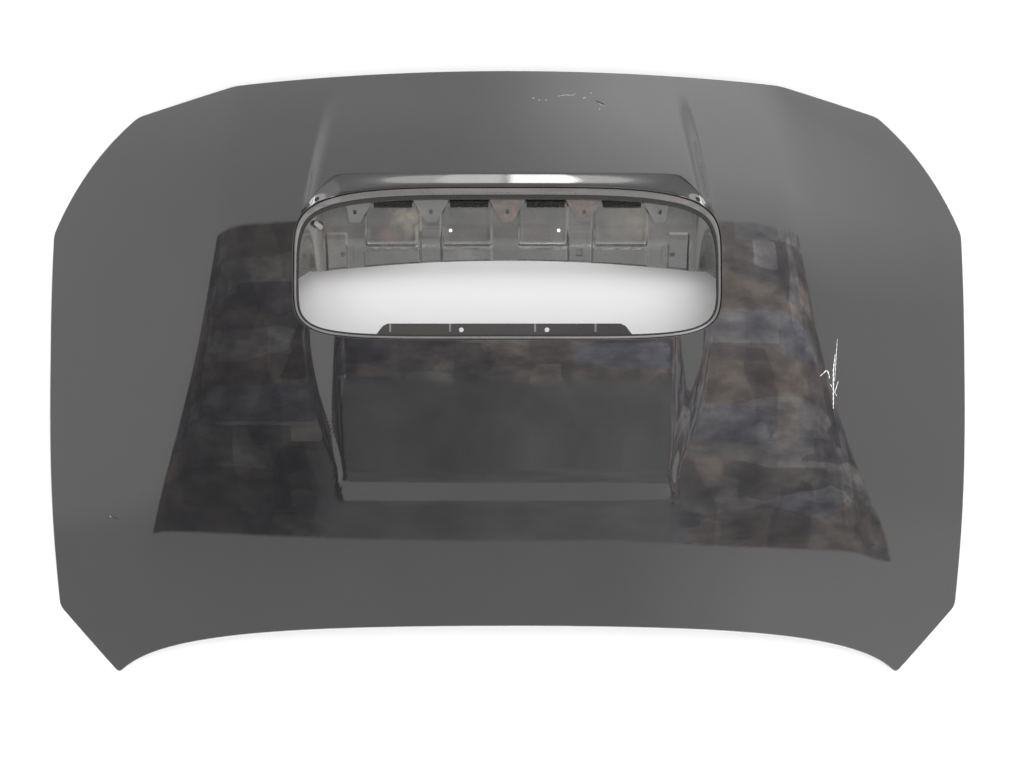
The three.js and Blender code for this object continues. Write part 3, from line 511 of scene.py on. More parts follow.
def rusted_paint():
    """Primer with a reddish bloom of rust."""
    mat, tree, shader = material("rust_bloomed_primer")
    colour = ramp(tree, noise(tree, 70, 8, 0.7), [
        (0.35, (0.05, 0.046, 0.042)), (0.5, (0.08, 0.068, 0.06)), (0.62, (0.12, 0.085, 0.07)),
        (0.75, (0.17, 0.105, 0.085))])
    tree.links.new(colour, shader.inputs["Base Color"])
    shader.inputs["Roughness"].default_value = 0.36
    shader.inputs["Coat Weight"].default_value = 0.5
    shader.inputs["Coat Roughness"].default_value = 0.15
    bump(tree, shader, noise(tree, 400, 4), 0.15, 0.0003)
    return mat


def steel():
    mat, tree, shader = material("zinc_steel")
    colour = ramp(tree, noise(tree, 60, 6), [(0.3, (0.34, 0.33, 0.3)), (0.7, (0.52, 0.51, 0.47))])
    tree.links.new(colour, shader.inputs["Base Color"])
    shader.inputs["Metallic"].default_value = 1.0
    tree.links.new(spread(tree, noise(tree, 200, 4), 0.3, 0.7, 0.28, 0.5), shader.inputs["Roughness"])
    bump(tree, shader, noise(tree, 500, 3), 0.1, 0.0003)
    return mat


def plain_finish(name, low, high, roughness, scale, bump_strength, bump_distance):
    mat, tree, shader = material(name)
    colour = ramp(tree, noise(tree, scale, 5), [(0.3, low), (0.7, high)])
    tree.links.new(colour, shader.inputs["Base Color"])
    shader.inputs["Roughness"].default_value = roughness
    bump(tree, shader, noise(tree, 2.5 * scale, 4, 0.65), bump_strength, bump_distance)
    return mat


# Dusty and rusty patches of the front wall: place and radius in metres, and colour
DUST = (
    ((-0.163, 0.246, 0.062), 0.034, (0.15, 0.135, 0.105)),
    ((-0.195, 0.222, 0.056), 0.017, (0.1, 0.07, 0.06)),
    ((0.2, 0.246, 0.062), 0.04, (0.1, 0.09, 0.072)),
    ((-0.3, 0.2, 0.05), 0.05, (0.085, 0.078, 0.066)),
)
PAINT = gloss_paint()
PRIMER = inner_paint()
RING_PAINT = dusty_gloss("dusty_ring_paint", (0.075, 0.074, 0.071), 1.7)
STRIP_PAINT = dusty_gloss("gloss_strip_paint", (0.008, 0.008, 0.009), 1.42)
# Black finish for the ring's groove and the strip along its inner edge, as painted shade
GROOVE_PAINTED_SHADE = plain_finish(
    "groove_painted_shade", (0.003, 0.003, 0.003), (0.008, 0.008, 0.008), 0.6, 200, 0.2, 0.0003)
RUSTED = rusted_paint()
STEEL = steel()
FOAM = plain_finish("black_foam", (0.005, 0.005, 0.005), (0.022, 0.021, 0.02), 0.95, 300, 0.8, 0.001)
MASTIC = plain_finish("grey_mastic", (0.07, 0.068, 0.06), (0.14, 0.135, 0.12), 0.7, 90, 0.4, 0.001)
CLIP = plain_finish("pale_clip", (0.18, 0.175, 0.155), (0.34, 0.33, 0.29), 0.5, 160, 0.2, 0.0005)
CHIP = plain_finish("bare_scratch", (0.5, 0.5, 0.5), (0.85, 0.85, 0.84), 0.6, 700, 0.4, 0.0002)
FAINT_CHIP = plain_finish("faint_scratch", (0.14, 0.14, 0.14), (0.45, 0.45, 0.44), 0.5, 900, 0.4, 0.0002)
DARK_CHIP = plain_finish("dark_chip", (0.004, 0.004, 0.004), (0.02, 0.018, 0.016), 0.8, 500, 0.4, 0.0002)


def carried(piece, slot, *nodes):
    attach(piece, "root")
    if nodes:
        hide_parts(*nodes)


# Outer skin
TOP_RINGS = 88
UNDER_EVERY = 4


def build_skin():
    places = bent_places(TOP_RINGS)
    top = above(places, skin_height(places[..., 0], places[..., 1]))
    under = below(skin_height, places[:, ::UNDER_EVERY], SKIN)
    rim_z = skin_height(stations.rim[:, 0], stations.rim[:, 1])
    fold_in = stations.from_edge(SKIN)
    hem_end = stations.from_edge(HEM_WIDTH)
    lip_out = stations.from_rim(SKIN)
    outer_steps = [stations.from_edge(d) for d in (0.4, 1.2, 4, 8)]
    rim_steps = [stations.from_rim(d) for d in (4, 2, 1.2, 0.6)]
    on_skin = lambda p: above(p, skin_height(p[..., 0], p[..., 1]))
    rim_round = 0.45
    section = [
        below(crown, stations.edge, 0.9),
        below(crown, stations.edge, 0.35),
        *[on_skin(p) for p in outer_steps],
        *[top[:, k] for k in range(top.shape[1])],
        *[on_skin(p) for p in rim_steps],
        above(stations.from_rim(0.15), rim_z - 0.12),
        above(stations.rim, rim_z - rim_round),
        above(stations.rim, rim_z - RIM_DEPTH),
        above(lip_out, rim_z - RIM_DEPTH),
        above(lip_out, rim_z - SKIN),
        *[under[:, k] for k in range(under.shape[1] - 1, -1, -1)],
        below(crown, fold_in, SKIN),
        below(crown, fold_in, HEM_TOP),
        below(crown, hem_end, HEM_TOP),
        below(crown, hem_end, HEM_DEPTH),
        below(crown, stations.from_edge(1.4), HEM_DEPTH),
        below(crown, stations.from_edge(0.35), HEM_DEPTH - 0.35),
        below(crown, stations.edge, HEM_DEPTH - 0.9),
    ]
    skin = closed_sheet("bonnet_skin", np.stack(section, axis=1), [PAINT], 50)
    carried(skin, "paint", "outer_skin")
    return skin


# Inner panel
def aperture_depth(x, y):
    in_front = smooth(60, 120, y) * (1 - smooth(305, 345, np.abs(x)))
    wall = WALL_TOP_DEPTH - COLLAR_DEPTH + WALL_SLOPE * np.maximum(0, WALL_TOP_Y - y)
    return COLLAR_DEPTH + in_front * wall


def inner_wall_height(x, y):
    return crown(x, y) - aperture_depth(x, y)


def outer_zone_depth(distance):
    dip = smooth(HEM_WIDTH + 1, HEM_WIDTH + 15, distance)
    flange = FLANGE_DEPTH + (CHANNEL_OUTER_DEPTH - FLANGE_DEPTH) * dip
    channel = (CHANNEL_DEPTH - CHANNEL_OUTER_DEPTH) * np.clip((distance - 28) / 60, 0, 1)
    return flange + channel - (CHANNEL_DEPTH - RIB_DEPTH) * smooth(87, 105, distance)


# Steps inwards from the edge: the flange, its dip, the channel and the rise to the ribs
FLANGE_STEPS = (*range(2, 13, 4), *range(13, 26, 2), 28, 32, 45, 60, 74, 84, *range(87, 106, 3))


def build_inner_sheet():
    rows = []
    for distance in FLANGE_STEPS:
        depth = float(outer_zone_depth(np.float64(distance)))
        rows.append(below(crown, stations.from_edge(distance), depth))
    rib_outer = stations.from_edge(107)
    rib_inner = stations.from_rim(64)
    for t in np.linspace(0, 1, 16):
        rows.append(below(crown, rib_outer * (1 - t) + rib_inner * t, RIB_DEPTH))
    for distance in (62, 60, 58, 56, 54, 52, 50, 48):
        depth = RIB_DEPTH + (CHANNEL_DEPTH - RIB_DEPTH) * float(smooth(63, 48, np.float64(distance)))
        rows.append(below(crown, stations.from_rim(distance), depth))
    collar = stations.from_rim(COLLAR_REACH)
    channel_end = stations.from_rim(48)
    channel_z = crown(channel_end[:, 0], channel_end[:, 1]) - CHANNEL_DEPTH
    collar_z = inner_wall_height(collar[:, 0], collar[:, 1])
    for t in (0.25, 0.5, 0.75):
        rows.append(above(channel_end * (1 - t) + collar * t, channel_z * (1 - t) + collar_z * t))
    for t in np.linspace(0, 1, 46):
        p = collar * (1 - t) + stations.inner * t
        rows.append(above(p, inner_wall_height(p[:, 0], p[:, 1])))
    top = np.stack(rows, axis=1)
    under = top[:, ::-1].copy()
    under[..., 2] -= INNER
    return closed_sheet("bonnet_inner", np.concatenate([top, under], axis=1), [PRIMER], 40)


CUTOUT_RADIUS = 30
CUTOUTS = (
    (524, 96, 140, 196), (540, -134, 140, 196), (312, -152, 140, 190),
    (106, -160, 140, 176), (476, 288, 128, 92),
)


def rounded_rectangle(width, length, radius, steps=8):
    points = []
    for quarter, (sx, sy) in enumerate(((1, 1), (-1, 1), (-1, -1), (1, -1))):
        for k in range(steps + 1):
            angle = math.pi / 2 * (quarter + k / steps)
            points.append((
                sx * (width / 2 - radius) + radius * math.cos(angle),
                sy * (length / 2 - radius) + radius * math.sin(angle)))
    return np.array(points)


def prism(name, outline, low, high):
    """A closed upright prism in millimetres."""
    count = len(outline)
    points = np.concatenate([above(outline, low), above(outline, high)])
    faces = [list(range(count))[::-1], list(range(count, 2 * count))]
    for k in range(count):
        n = (k + 1) % count
        faces.append([k, n, count + n, count + k])
    return new_object(name, points, faces, [PRIMER])


def circle(x, y, radius, steps=20):
    angle = np.linspace(0, 2 * math.pi, steps, endpoint=False)
    return np.stack([x + radius * np.cos(angle), y + radius * np.sin(angle)], axis=-1)


def box_outline(x, y, half_width, half_length):
    return np.array([
        (x - half_width, y - half_length), (x + half_width, y - half_length),
        (x + half_width, y + half_length), (x - half_width, y + half_length)], float)


def join(target, others):
    with bpy.context.temp_override(
            active_object=target, selected_objects=[target, *others],
            selected_editable_objects=[target, *others], object=target):
        bpy.ops.object.join()
    return target


def cut(target, cutters):
    """Cuts every cutter out of the target and removes the cutters."""
    tool = cutters[0]
    if len(cutters) > 1:
        tool = join(cutters[0], cutters[1:])
    modifier = target.modifiers.new("cut", "BOOLEAN")
    modifier.operation = "DIFFERENCE"
    modifier.solver = "MANIFOLD"
    modifier.object = tool
    with bpy.context.temp_override(object=target, active_object=target, selected_objects=[target]):
        bpy.ops.object.modifier_apply(modifier=modifier.name)
    bpy.data.objects.remove(tool)


# Pressed forms of the front wall, in millimetres across and along the bonnet
BAYS = ((-231, -145), (-105, -24), (17, 98), (139, 228))
RIBS = ((-139, -109), (100, 136))
SEGMENTS = ((-231, -145), (-103, -27), (19, 96), (141, 226))
BAY_FRONT_Y = 276
BAY_REAR_Y = 211
STEP_Y = 207
WALL_HOLES = ((-92, 232), (83, 232))
SQUARE_POCKET = (116.5, 197, 5.5, 6)
# Highest relief, and the share of it that is lost under the tabs
HIGHEST_RELIEF = 9
TAB_SHARE = 0.62
STEP_HEIGHT = 2.6
BAY_HEIGHT = 2.8
BAY_DISH = 1.1
SEGMENT_HEIGHT = 1.8
RIB_HEIGHT = 6.5
RIB_NOTCH = 2.4
RIB_HEAD = 1.6
SIDE_PLATEAU = 4.4


def band(value, low, high, soft):
    return smooth(low - soft, low, value) * (1 - smooth(high, high + soft, value))


def pressed_relief(x, y):
    """How far each place of the front wall is pressed up from its plain slope."""
    relief = STEP_HEIGHT * smooth(STEP_Y - 5, STEP_Y + 9, y)
    for low, high in BAYS:
        rear_edge = smooth(BAY_REAR_Y - 9, BAY_REAR_Y + 5, y)
        front_edge = 1 - smooth(BAY_FRONT_Y, BAY_FRONT_Y + 5, y)
        relief = relief + BAY_HEIGHT * band(x, low + 4, high - 4, 4.5) * rear_edge * front_edge
        inner = band(x, low + 10, high - 10, 8) * band(y, BAY_REAR_Y + 9, BAY_FRONT_Y - 8, 8)
        relief = relief - BAY_DISH * inner
    for low, high in SEGMENTS:
        relief = relief + SEGMENT_HEIGHT * band(x, low, high, 3.2) * (1 - smooth(STEP_Y - 5, STEP_Y - 3, y))
    for low, high in RIBS:
        across = band(x, low, high, 2.5)
        notch = 1 - smooth(218, 226, y)
        height = RIB_HEIGHT - RIB_NOTCH * notch + RIB_HEAD * smooth(236, 239, y)
        target = height + STEP_HEIGHT * smooth(STEP_Y - 4, STEP_Y + 5, y) * notch
        relief = relief * (1 - across) + target * across
    off = np.abs(x)
    side = band(off, 263, 293, 3) * (1 - smooth(226, 230, y))
    relief = relief * (1 - side) + SIDE_PLATEAU * side
    return np.clip(relief * (1 - TAB_SHARE * smooth(218, 243, y)), 0, HIGHEST_RELIEF)


PRESS_HALF = 300
PRESS_STEP = 1.5
PRESS_ROWS = 84
PRESS_FRONT_Y = 306
PRESS_SHEET = 0.5


def build_pressed_wall():
    """The front wall's ribs and bays, as a fine sheet on the inner panel."""
    x = np.arange(-PRESS_HALF, PRESS_HALF + PRESS_STEP, PRESS_STEP)
    rear = WALL_EDGE_Y - WALL_EDGE_BOW * (x / WALL_EDGE_X) ** 2 - 0.6
    front = np.minimum(PRESS_FRONT_Y, HOLE_Y + HOLE_HALF_LENGTH * (
        1 - (np.abs(x) / HOLE_HALF_WIDTH) ** HOLE_POWER_FRONT) ** (1 / HOLE_POWER_FRONT) + 6)
    t = np.linspace(0, 1, PRESS_ROWS)
    xs = np.repeat(x[:, None], PRESS_ROWS, axis=1)
    ys = rear[:, None] + (front - rear)[:, None] * t
    base = inner_wall_height(xs, ys)
    fade = smooth(0, 0.02, t) * (1 - smooth(0.95, 1, t))
    relief = pressed_relief(xs, ys) * np.maximum(fade, 0.0)
    top = np.stack([xs, ys, base + PRESS_SHEET + relief], axis=-1)
    under = np.stack([xs, ys, base + 0.1], axis=-1)
    columns, rows = xs.shape
    points = np.concatenate([top.reshape(-1, 3), under.reshape(-1, 3)])
    total = columns * rows
    i = np.arange(columns - 1)[:, None]
    j = np.arange(rows - 1)[None, :]
    a = i * rows + j
    quads = np.stack([a, a + rows, a + rows + 1, a + 1], axis=-1).reshape(-1, 4)
    faces = quads.tolist() + (quads[:, ::-1] + total).tolist()
    border = [k * rows for k in range(columns)]
    border += [(columns - 1) * rows + k for k in range(1, rows)]
    border += [k * rows + rows - 1 for k in range(columns - 2, -1, -1)]
    border += [k for k in range(rows - 2, 0, -1)]
    for first, second in zip(border, border[1:] + border[:1]):
        faces.append([second, first, first + total, second + total])
    wall = new_object("pressed_wall", points, faces, [PRIMER], 42)
    pocket = prism("cutter", box_outline(*SQUARE_POCKET), -200, 100)
    cut(wall, [*wall_cutters(), pocket])
    wall.data.set_sharp_from_angle(angle=math.radians(42))
    carried(wall, "inner_paint", "inner_panel")


def wall_cutters():
    cutters = [prism("cutter", circle(x, y, 2.7), -200, 100) for x, y in WALL_HOLES]
    cutters += [prism("cutter", circle(sign * 268, 194.9, 4.6), -200, 100) for sign in (-1, 1)]
    return cutters


def build_inner():
    panel = build_inner_sheet()
    cutters = wall_cutters()
    for x, y, width, length in CUTOUTS:
        outline = rounded_rectangle(width, length, CUTOUT_RADIUS)
        for sign in (-1, 1):
            cutters.append(prism("cutter", outline + (sign * x, y), -200, 100))
    cut(panel, cutters)
    panel.data.set_sharp_from_angle(angle=math.radians(40))
    carried(panel, "inner_paint", "inner_panel")
    return panel


# Ring flange: the share of the seat that is a band of the ring's paint, and the strips painted black as
# painted shade in the groove and along the inner edge
RING_BAND_SHARE = 0.6
RING_PAINTED_SHADE_FACES = (1, 2, 3, 8, 9, 10)


def build_ring():
    front = smooth(HOLE_Y, HOLE_Y + HOLE_HALF_LENGTH, stations.rim[:, 1])
    seat = RING_SEAT_SIDE + (RING_SEAT_FRONT - RING_SEAT_SIDE) * front
    rim_z = skin_height(stations.rim[:, 0], stations.rim[:, 1])
    seat_z = rim_z - RING_STEP
    groove_z = seat_z - RING_GROOVE
    band_end = RING_BAND_SHARE * seat

    def under_skin(distance):
        p = stations.from_rim(distance)
        return p, np.minimum(rim_z, skin_height(p[:, 0], p[:, 1])) - SKIN - LAP_GAP

    lap_end, lap_end_z = under_skin(RING_LAP)
    lap_start, lap_start_z = under_skin(6)
    section = [
        above(lap_end, lap_end_z),
        above(lap_start, lap_start_z),
        above(stations.from_rim(2.6), groove_z),
        above(stations.from_rim(-0.4), groove_z),
        above(stations.from_rim(-1.0), seat_z - 0.4),
        above(stations.from_rim(-1.6), seat_z),
        above(stations.from_rim(-band_end + 0.6), seat_z),
        above(stations.from_rim(-band_end), seat_z - 0.2),
        above(stations.from_rim(-band_end - 0.4), seat_z - 1.2),
        above(stations.from_rim(-seat + 0.8), seat_z - 1.2),
        above(stations.from_rim(-seat), seat_z - 1.9),
        above(stations.from_rim(-seat), seat_z - RING_WALL),
        above(stations.from_rim(-seat + RING_SHEET), seat_z - RING_WALL),
        above(stations.from_rim(-seat + RING_SHEET), groove_z - RING_SHEET),
        above(stations.from_rim(3.4), groove_z - RING_SHEET),
        above(stations.from_rim(6.8), lap_start_z - RING_SHEET),
        above(lap_end, lap_end_z - RING_SHEET),
    ]
    ring = closed_sheet("seat_ring", np.stack(section, axis=1), [RING_PAINT, GROOVE_PAINTED_SHADE], 30)
    # Faces of the groove and of the strip along the inner edge take the black finish, as painted shade
    for face in ring.data.polygons:
        face.material_index = int(face.index % len(section) in RING_PAINTED_SHADE_FACES)
    carried(ring, "inner_paint", "scoop_seat_ring")
    return ring


# Marks on the paint: points in millimetres on the skin, and the width of each mark
SCRATCHES = (
    (((530, 56), (528, 31), (526, 2), (525, -13)), 1.3),
    (((526, 31), (523, 4), (523, -21), (523, -39), (523, -56)), 2.2),
    (((501, -4), (511, 5), (514, 4), (517, -8)), 1.9),
    (((518, -17), (521, -22)), 1.6),
    (((531, -12), (528, -22), (525, -30), (529, -36)), 1.5),
)
FAINT_MARKS = (
    (((81, 448), (88, 450), (95, 451), (104, 450), (112, 454)), 1.3),
    (((122, 445), (127, 447)), 2.0),
    (((134, 454), (137, 455)), 1.6),
    (((40, 445), (44, 445)), 1.8),
    (((50, 441), (53, 442)), 1.8),
    (((61, 441), (64, 442)), 1.8),
    (((147, 426), (150, 426)), 1.5),
    (((147, 436), (156, 431)), 0.9),
    (((-647, -231), (-644, -233)), 2.0),
)
DARK_MARKS = (
    (((143, 440), (149, 438), (156, 434)), 2.6),
    (((-645, -229), (-642, -233), (-634, -235), (-630, -238)), 2.2),
)


def ribbon(points, width):
    """Points and faces of a thin tapered mark that lies on the skin."""
    line = np.array(points, float)
    along = lengths_along(line)
    count = max(4, int(along[-1] / 2))
    spots = resample(line, np.linspace(0, 1, count))
    wobble = 0.35 * np.sin(np.arange(count) * 2.3) * np.cos(np.arange(count) * 0.9)
    heading = np.gradient(spots, axis=0)
    heading /= np.linalg.norm(heading, axis=1)[:, None]
    square = np.stack([-heading[:, 1], heading[:, 0]], axis=-1)
    taper = np.sqrt(np.sin(np.pi * np.linspace(0.06, 0.94, count)))
    half = width / 2 * taper * (1 + 0.35 * np.sin(np.arange(count) * 1.7))
    middle = spots + square * wobble[:, None]
    rows = []
    for side, lift in ((-1, -0.15), (-0.6, 0.09), (0.6, 0.09), (1, -0.15)):
        p = middle + square * (side * half)[:, None]
        rows.append(above(p, skin_height(p[:, 0], p[:, 1]) + lift))
    return np.stack(rows, axis=1)


def build_marks(name, marks, finish):
    points, faces = [], []
    for line, width in marks:
        rows = ribbon(line, width)
        count, across = rows.shape[:2]
        start = len(points)
        points.extend(rows.reshape(-1, 3).tolist())
        for i in range(count - 1):
            for j in range(across):
                k = (j + 1) % across
                a = start + i * across
                faces.append([a + j, a + across + j, a + across + k, a + k])
        faces.append([start + j for j in range(across)])
        faces.append([start + (count - 1) * across + j for j in range(across - 1, -1, -1)])
    marks_object = new_object(name, points, faces, [finish], 60)
    mesh = bmesh.new()
    mesh.from_mesh(marks_object.data)
    bmesh.ops.recalc_face_normals(mesh, faces=mesh.faces)
    mesh.to_mesh(marks_object.data)
    mesh.free()
    carried(marks_object, "paint")


def rounded_box(name, centre, size, finish, slot, turn=0.0, edge=0.5):
    """A small bevelled block, placed in the outline's own millimetres."""
    mesh = bmesh.new()
    bmesh.ops.create_cube(mesh, size=1)
    bmesh.ops.scale(mesh, vec=Vector(size), verts=mesh.verts)
    bmesh.ops.bevel(mesh, geom=mesh.edges[:], offset=edge, segments=2, affect="EDGES", profile=0.5)
    place = Vector(centre) + Vector(PLACE)
    matrix = Matrix.Translation(place) @ Matrix.Rotation(turn, 4, "Z")
    mesh.transform(Matrix.Scale(MM, 4) @ matrix)
    data = bpy.data.meshes.new(name)
    mesh.to_mesh(data)
    mesh.free()
    data.materials.append(finish)
    obj = bpy.data.objects.new(name, data)
    bpy.context.scene.collection.objects.link(obj)
    carried(obj, slot)
    return obj


def build_foam():
    """The foam strips with rounded, crumbly edges."""
    rng = np.random.default_rng(7)
    for name in [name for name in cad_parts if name.startswith("foam_strip")]:
        source = bpy.data.objects[name]
        mesh = bmesh.new()
        mesh.from_mesh(source.data)
        bmesh.ops.transform(mesh, matrix=source.matrix_world, verts=mesh.verts)
        bmesh.ops.bevel(mesh, geom=mesh.edges[:], offset=2.6 * MM, segments=3, affect="EDGES", profile=0.5)
        bmesh.ops.triangulate(mesh, faces=mesh.faces)
        for _ in range(4):
            long_edges = [edge for edge in mesh.edges if edge.calc_length() > 2.2 * MM]
            if not long_edges:
                break
            bmesh.ops.subdivide_edges(mesh, edges=long_edges, cuts=1)
            bmesh.ops.triangulate(mesh, faces=mesh.faces)
        mesh.normal_update()
        moves = [vert.normal * (-FOAM_ROUGHNESS * MM * rng.random()) for vert in mesh.verts]
        for vert, move in zip(mesh.verts, moves):
            vert.co += move
        data = bpy.data.meshes.new(f"{name}_crumbly")
        mesh.to_mesh(data)
        mesh.free()
        data.materials.append(FOAM)
        strip = bpy.data.objects.new(f"{name}_crumbly", data)
        bpy.context.scene.collection.objects.link(strip)
        carried(strip, "foam", name)


FOAM_ROUGHNESS = 1.3
REAR_STRIP_TOP = -8.1
BEADS_X = (-186, -91, 44, 140)
BEAD_Y = 72.3
BEAD_SIZE = (3.4, 14, 1.8)


def build_rear_beads():
    for k, x in enumerate(BEADS_X):
        place = (x, BEAD_Y, REAR_STRIP_TOP)
        rounded_box(f"bracket_bead_{k + 1}", place, BEAD_SIZE, RING_PAINT, "inner_paint", 0, 0.8)


build_skin()
build_inner()
build_pressed_wall()
build_ring()
build_rear_beads()
build_foam()
build_marks("scratches", SCRATCHES, CHIP)
build_marks("faint_marks", FAINT_MARKS, FAINT_CHIP)
build_marks("dark_marks", DARK_MARKS, DARK_CHIP)

NODE_FINISH = {
    "scoop_front_bracket_3": RUSTED, "scoop_front_bracket_4": RUSTED, "scoop_front": PRIMER,
    "scoop_rear": STRIP_PAINT, "corner_plate": PRIMER, "foam": FOAM, "edge_clip": CLIP,
    "striker": STEEL, "latch": STEEL, "hinge": STEEL, "mastic": MASTIC,
}
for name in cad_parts:
    obj = bpy.data.objects.get(name)
    if obj is None:
        continue
    for prefix, finish in NODE_FINISH.items():
        if name.startswith(prefix):
            obj.data.materials.clear()
            obj.data.materials.append(finish)
            break


# Floor, light and camera
def build_floor():
    mesh = bpy.data.meshes.new("floor")
    half = 12.0
    corners = [(-half, -half, 0), (half, -half, 0), (half, half, 0), (-half, half, 0)]
    mesh.from_pydata(corners, [], [(0, 1, 2, 3)])
    floor = bpy.data.objects.new("floor", mesh)
    bpy.context.scene.collection.objects.link(floor)
    mat, tree, shader = material("pale_floor")
    shader.inputs["Base Color"].default_value = (0.86, 0.86, 0.87, 1)
    shader.inputs["Roughness"].default_value = 0.9
    mesh.materials.append(mat)


def build_world():
    world = bpy.data.worlds.new("studio")
    bpy.context.scene.world = world
    world.use_nodes = True
    tree = world.node_tree
    background = tree.nodes["Background"]
    coords = node(tree, "ShaderNodeTexCoord")
    parts = node(tree, "ShaderNodeSeparateXYZ")
    tree.links.new(coords.outputs["Generated"], parts.inputs["Vector"])

    def math_node(operation, first, second=None):
        made = node(tree, "ShaderNodeMath", operation=operation)
        for socket, value in zip(made.inputs, (first, second)):
            if value is None:
                continue
            if isinstance(value, (int, float)):
                socket.default_value = value
            else:
                tree.links.new(value, socket)
        return made.outputs["Value"]

    high = math_node("MAXIMUM", parts.outputs["Z"], 0.02)
    across = math_node("DIVIDE", parts.outputs["X"], high)
    along = math_node("DIVIDE", parts.outputs["Y"], high)

    def scaled(value, factor, offset):
        return math_node("ADD", math_node("MULTIPLY", value, factor), offset)

    def inside(value, low, high_end, soft=0.004):
        rise = spread(tree, math_node("SUBTRACT", value, low), -soft, soft, 0, 1)
        fall = spread(tree, math_node("SUBTRACT", value, high_end), -soft, soft, 1, 0)
        return math_node("MULTIPLY", rise, fall)

    def mixed(factor, first, second):
        mix = node(tree, "ShaderNodeMix", data_type="RGBA")
        tree.links.new(factor, mix.inputs["Factor"])
        for socket, value in ((mix.inputs["A"], first), (mix.inputs["B"], second)):
            if isinstance(value, tuple):
                socket.default_value = (*value, 1)
            else:
                tree.links.new(value, socket)
        return mix.outputs["Result"]

    # The room overhead: a dark patch whose sides spread towards the rear
    rearward = math_node("SUBTRACT", ROOM_FRONT, along)
    left = scaled(rearward, *ROOM_LEFT)
    right = scaled(rearward, *ROOM_RIGHT)
    past_middle = math_node("MAXIMUM", scaled(across, 1, -ROOM_REAR_BEND), 0)
    rear = scaled(past_middle, -ROOM_REAR_SLANT, ROOM_REAR)
    dark = math_node("MULTIPLY", inside(across, left, right), inside(along, rear, ROOM_FRONT))
    overhead = math_node("GREATER_THAN", parts.outputs["Z"], 0.05)
    dark = math_node("MULTIPLY", dark, overhead)

    # The pale booth, with a row of levels from left to right for its middle, front and rear
    def row(levels):
        stops = [((at + 1.1) / 2.2, (level, level, level)) for at, level in levels]
        return ramp(tree, spread(tree, across, -1.1, 1.1, 0, 1), stops)

    pale = ramp(tree, spread(tree, parts.outputs["Z"], -0.2, 1, 0, 1), [
        (0.0, (1.0, 1.0, 1.0)), (0.5, (0.97, 0.97, 0.97)), (1.0, (0.9, 0.9, 0.9))])
    frontward = spread(tree, along, 0.2, 0.42, 0, 1)
    to_rear = spread(tree, along, -0.36, -0.24, 1, 0)
    level = mixed(frontward, row(MIDDLE_ROW), row(FRONT_ROW))
    level = mixed(to_rear, level, row(REAR_ROW))
    product = node(tree, "ShaderNodeMix", data_type="RGBA", blend_type="MULTIPLY")
    product.inputs["Factor"].default_value = 1
    tree.links.new(pale, product.inputs["A"])
    tree.links.new(level, product.inputs["B"])
    pale = product.outputs["Result"]

    # Boxes of uneven tone inside the room
    def plane(across_scale, along_scale):
        made = node(tree, "ShaderNodeCombineXYZ")
        tree.links.new(math_node("MULTIPLY", across, across_scale), made.inputs["X"])
        tree.links.new(math_node("MULTIPLY", along, along_scale), made.inputs["Y"])
        return made.outputs["Vector"]

    def clouds(vector, detail):
        made = node(tree, "ShaderNodeTexNoise")
        made.inputs["Scale"].default_value = 1.0
        made.inputs["Detail"].default_value = detail
        made.inputs["Roughness"].default_value = 0.62
        tree.links.new(vector, made.inputs["Vector"])
        return made.outputs["Fac"]

    def boxes(vector):
        cells = node(tree, "ShaderNodeTexVoronoi", distance="CHEBYCHEV")
        cells.inputs["Scale"].default_value = 1.0
        tree.links.new(vector, cells.inputs["Vector"])
        pick = node(tree, "ShaderNodeSeparateColor")
        tree.links.new(cells.outputs["Color"], pick.inputs["Color"])
        return pick.outputs["Red"]

    def multiplied(first, second):
        product = node(tree, "ShaderNodeMix", data_type="RGBA", blend_type="MULTIPLY")
        product.inputs["Factor"].default_value = 1
        tree.links.new(first, product.inputs["A"])
        tree.links.new(second, product.inputs["B"])
        return product.outputs["Result"]

    uneven = ramp(tree, clouds(plane(13, 17), 5), [
        (0.34, (0.5, 0.5, 0.52)), (0.5, (0.95, 0.94, 0.93)), (0.66, (1.6, 1.56, 1.5))])
    nearer = spread(tree, along, -0.36, 0.1, 0, 1)
    deeper = ramp(tree, nearer, [(0, (0.7, 0.7, 0.7)), (1, (1.15, 1.15, 1.15))])
    tones = row(ROOM_ROW)
    for layer in (ramp(tree, boxes(plane(6, 15)), WIDE_BOXES), ramp(tree, boxes(plane(19, 6)), TALL_BOXES),
                  uneven, deeper):
        tones = multiplied(tones, layer)
    worn = ramp(tree, clouds(plane(7, 9), 4), [(0.35, (0.8, 0.8, 0.8)), (0.65, (1.2, 1.2, 1.18))])
    low_floor = multiplied(worn, row(FLOOR_ROW))
    floor_part = math_node("MULTIPLY", inside(across, -0.27, 0.25, 0.02), inside(along, -0.5, -0.13, 0.01))
    room = mixed(floor_part, tones, low_floor)
    sky = mixed(dark, pale, room)

    # Softboxes low behind the bonnet, seen in the wall behind the lip
    back = math_node("MULTIPLY", parts.outputs["Y"], -1.0)
    behind = math_node("MAXIMUM", back, 0.02)
    turn = math_node("DIVIDE", parts.outputs["X"], behind)
    height = math_node("DIVIDE", parts.outputs["Z"], behind)
    facing = math_node("GREATER_THAN", back, 0.1)
    for low, high, bottom, top, level in SOFTBOXES:
        lit = math_node("MULTIPLY", inside(turn, low, high, 0.004), inside(height, bottom, top, 0.03))
        lit = math_node("MULTIPLY", lit, facing)
        sky = mixed(lit, sky, (level, level, level * 0.98))
    tree.links.new(sky, background.inputs["Color"])
    background.inputs["Strength"].default_value = STUDIO_LEVEL


# Limits of the dark room overhead, as slopes of the direction that is looked in
ROOM_FRONT = 0.302
ROOM_REAR = -0.372
ROOM_REAR_BEND = 0.15
ROOM_REAR_SLANT = 0.13
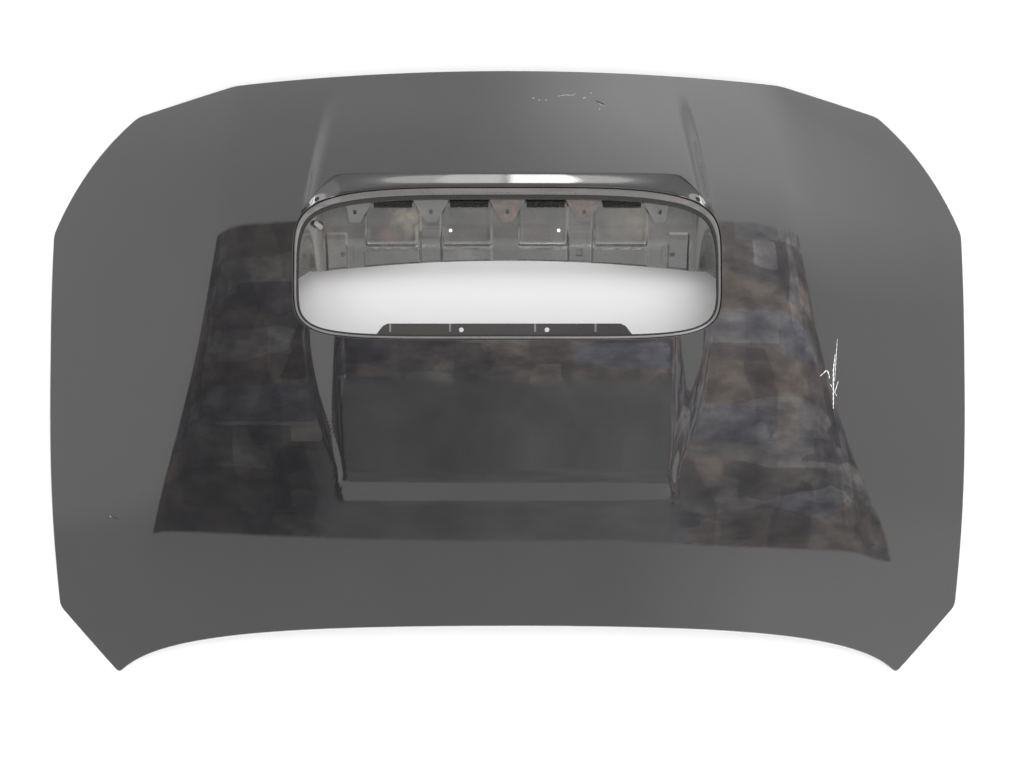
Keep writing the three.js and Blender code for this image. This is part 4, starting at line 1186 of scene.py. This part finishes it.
# Spread towards the rear and limit at the front, left and right
ROOM_LEFT = (-0.09, -0.56)
ROOM_RIGHT = (0.24, 0.56)
WIDE_BOXES = (
    (0.0, (0.55, 0.55, 0.66)), (0.3, (1.1, 0.98, 0.9)), (0.5, (0.62, 0.62, 0.64)),
    (0.7, (1.3, 1.28, 1.26)), (0.9, (0.9, 0.95, 1.1)), (1.0, (1.9, 1.86, 1.8)),
)
TALL_BOXES = (
    (0.0, (0.72, 0.7, 0.72)), (0.5, (1.0, 1.0, 1.0)), (0.85, (1.15, 1.1, 1.05)), (1.0, (1.6, 1.6, 1.6)),
)
# Brightness of the room from left to right
ROOM_ROW = ((-1.1, 0.15), (-0.3, 0.17), (-0.1, 0.46), (0.2, 0.58), (1.1, 0.52))
FLOOR_ROW = ((-1.1, 0.26), (-0.1, 0.28), (0.1, 0.4), (1.1, 0.46))
STUDIO_LEVEL = 2.3
# Levels of the booth by slope across, for the middle, the front and the rear
MIDDLE_ROW = ((-1.1, 0.72), (-0.6, 0.76), (0.6, 0.76), (1.1, 0.74))
FRONT_ROW = (
    (-1.1, 0.74), (-0.1, 0.7), (0.0, 0.8), (0.12, 1.06), (0.3, 1.34), (0.55, 1.34), (0.85, 1.1), (1.1, 0.9))
REAR_ROW = ((-1.1, 0.6), (0.15, 0.6), (0.4, 0.86), (1.1, 0.8))
# Softboxes: turn from straight behind, height above the horizon, and level
SOFTBOXES = (
    (-1.4, 1.4, 0.1, 0.42, 1.7),
    (0.0, 0.07, -0.1, 0.5, 6.5),
    (-0.075, -0.01, -0.1, 0.5, 2.6),
    (0.2, 0.32, -0.1, 0.6, 5.0),
    (-0.32, -0.2, -0.1, 0.6, 5.0),
)
CAMERA_HEIGHT = 2403
CAMERA_X = 7.4
CAMERA_Y = -18.2
PIXELS_ACROSS = 1024
MM_PER_PIXEL = 1.656
SENSOR = 36.0


def build_fill():
    """A low lamp under the bonnet that keeps the floor seen through the aperture pale."""
    lamp = bpy.data.lights.new("floor_fill", "AREA")
    lamp.shape = "RECTANGLE"
    lamp.size = FILL_SIZE[0] * MM
    lamp.size_y = FILL_SIZE[1] * MM
    lamp.energy = FILL_WATTS
    fill = bpy.data.objects.new("floor_fill", lamp)
    fill.location = [value * MM for value in FILL_PLACE]
    bpy.context.scene.collection.objects.link(fill)


FILL_PLACE = (0, 235, 20)
FILL_SIZE = (380, 50)
FILL_WATTS = 0.14


def build_camera():
    data = bpy.data.cameras.new("camera")
    data.sensor_width = SENSOR
    data.lens = SENSOR * CAMERA_HEIGHT / MM_PER_PIXEL / PIXELS_ACROSS
    camera = bpy.data.objects.new("camera", data)
    camera.location = (CAMERA_X * MM, CAMERA_Y * MM, CAMERA_HEIGHT * MM)
    bpy.context.scene.collection.objects.link(camera)
    bpy.context.scene.camera = camera


build_floor()
build_world()
build_fill()
build_camera()
bpy.context.scene.view_settings.view_transform = "Standard"
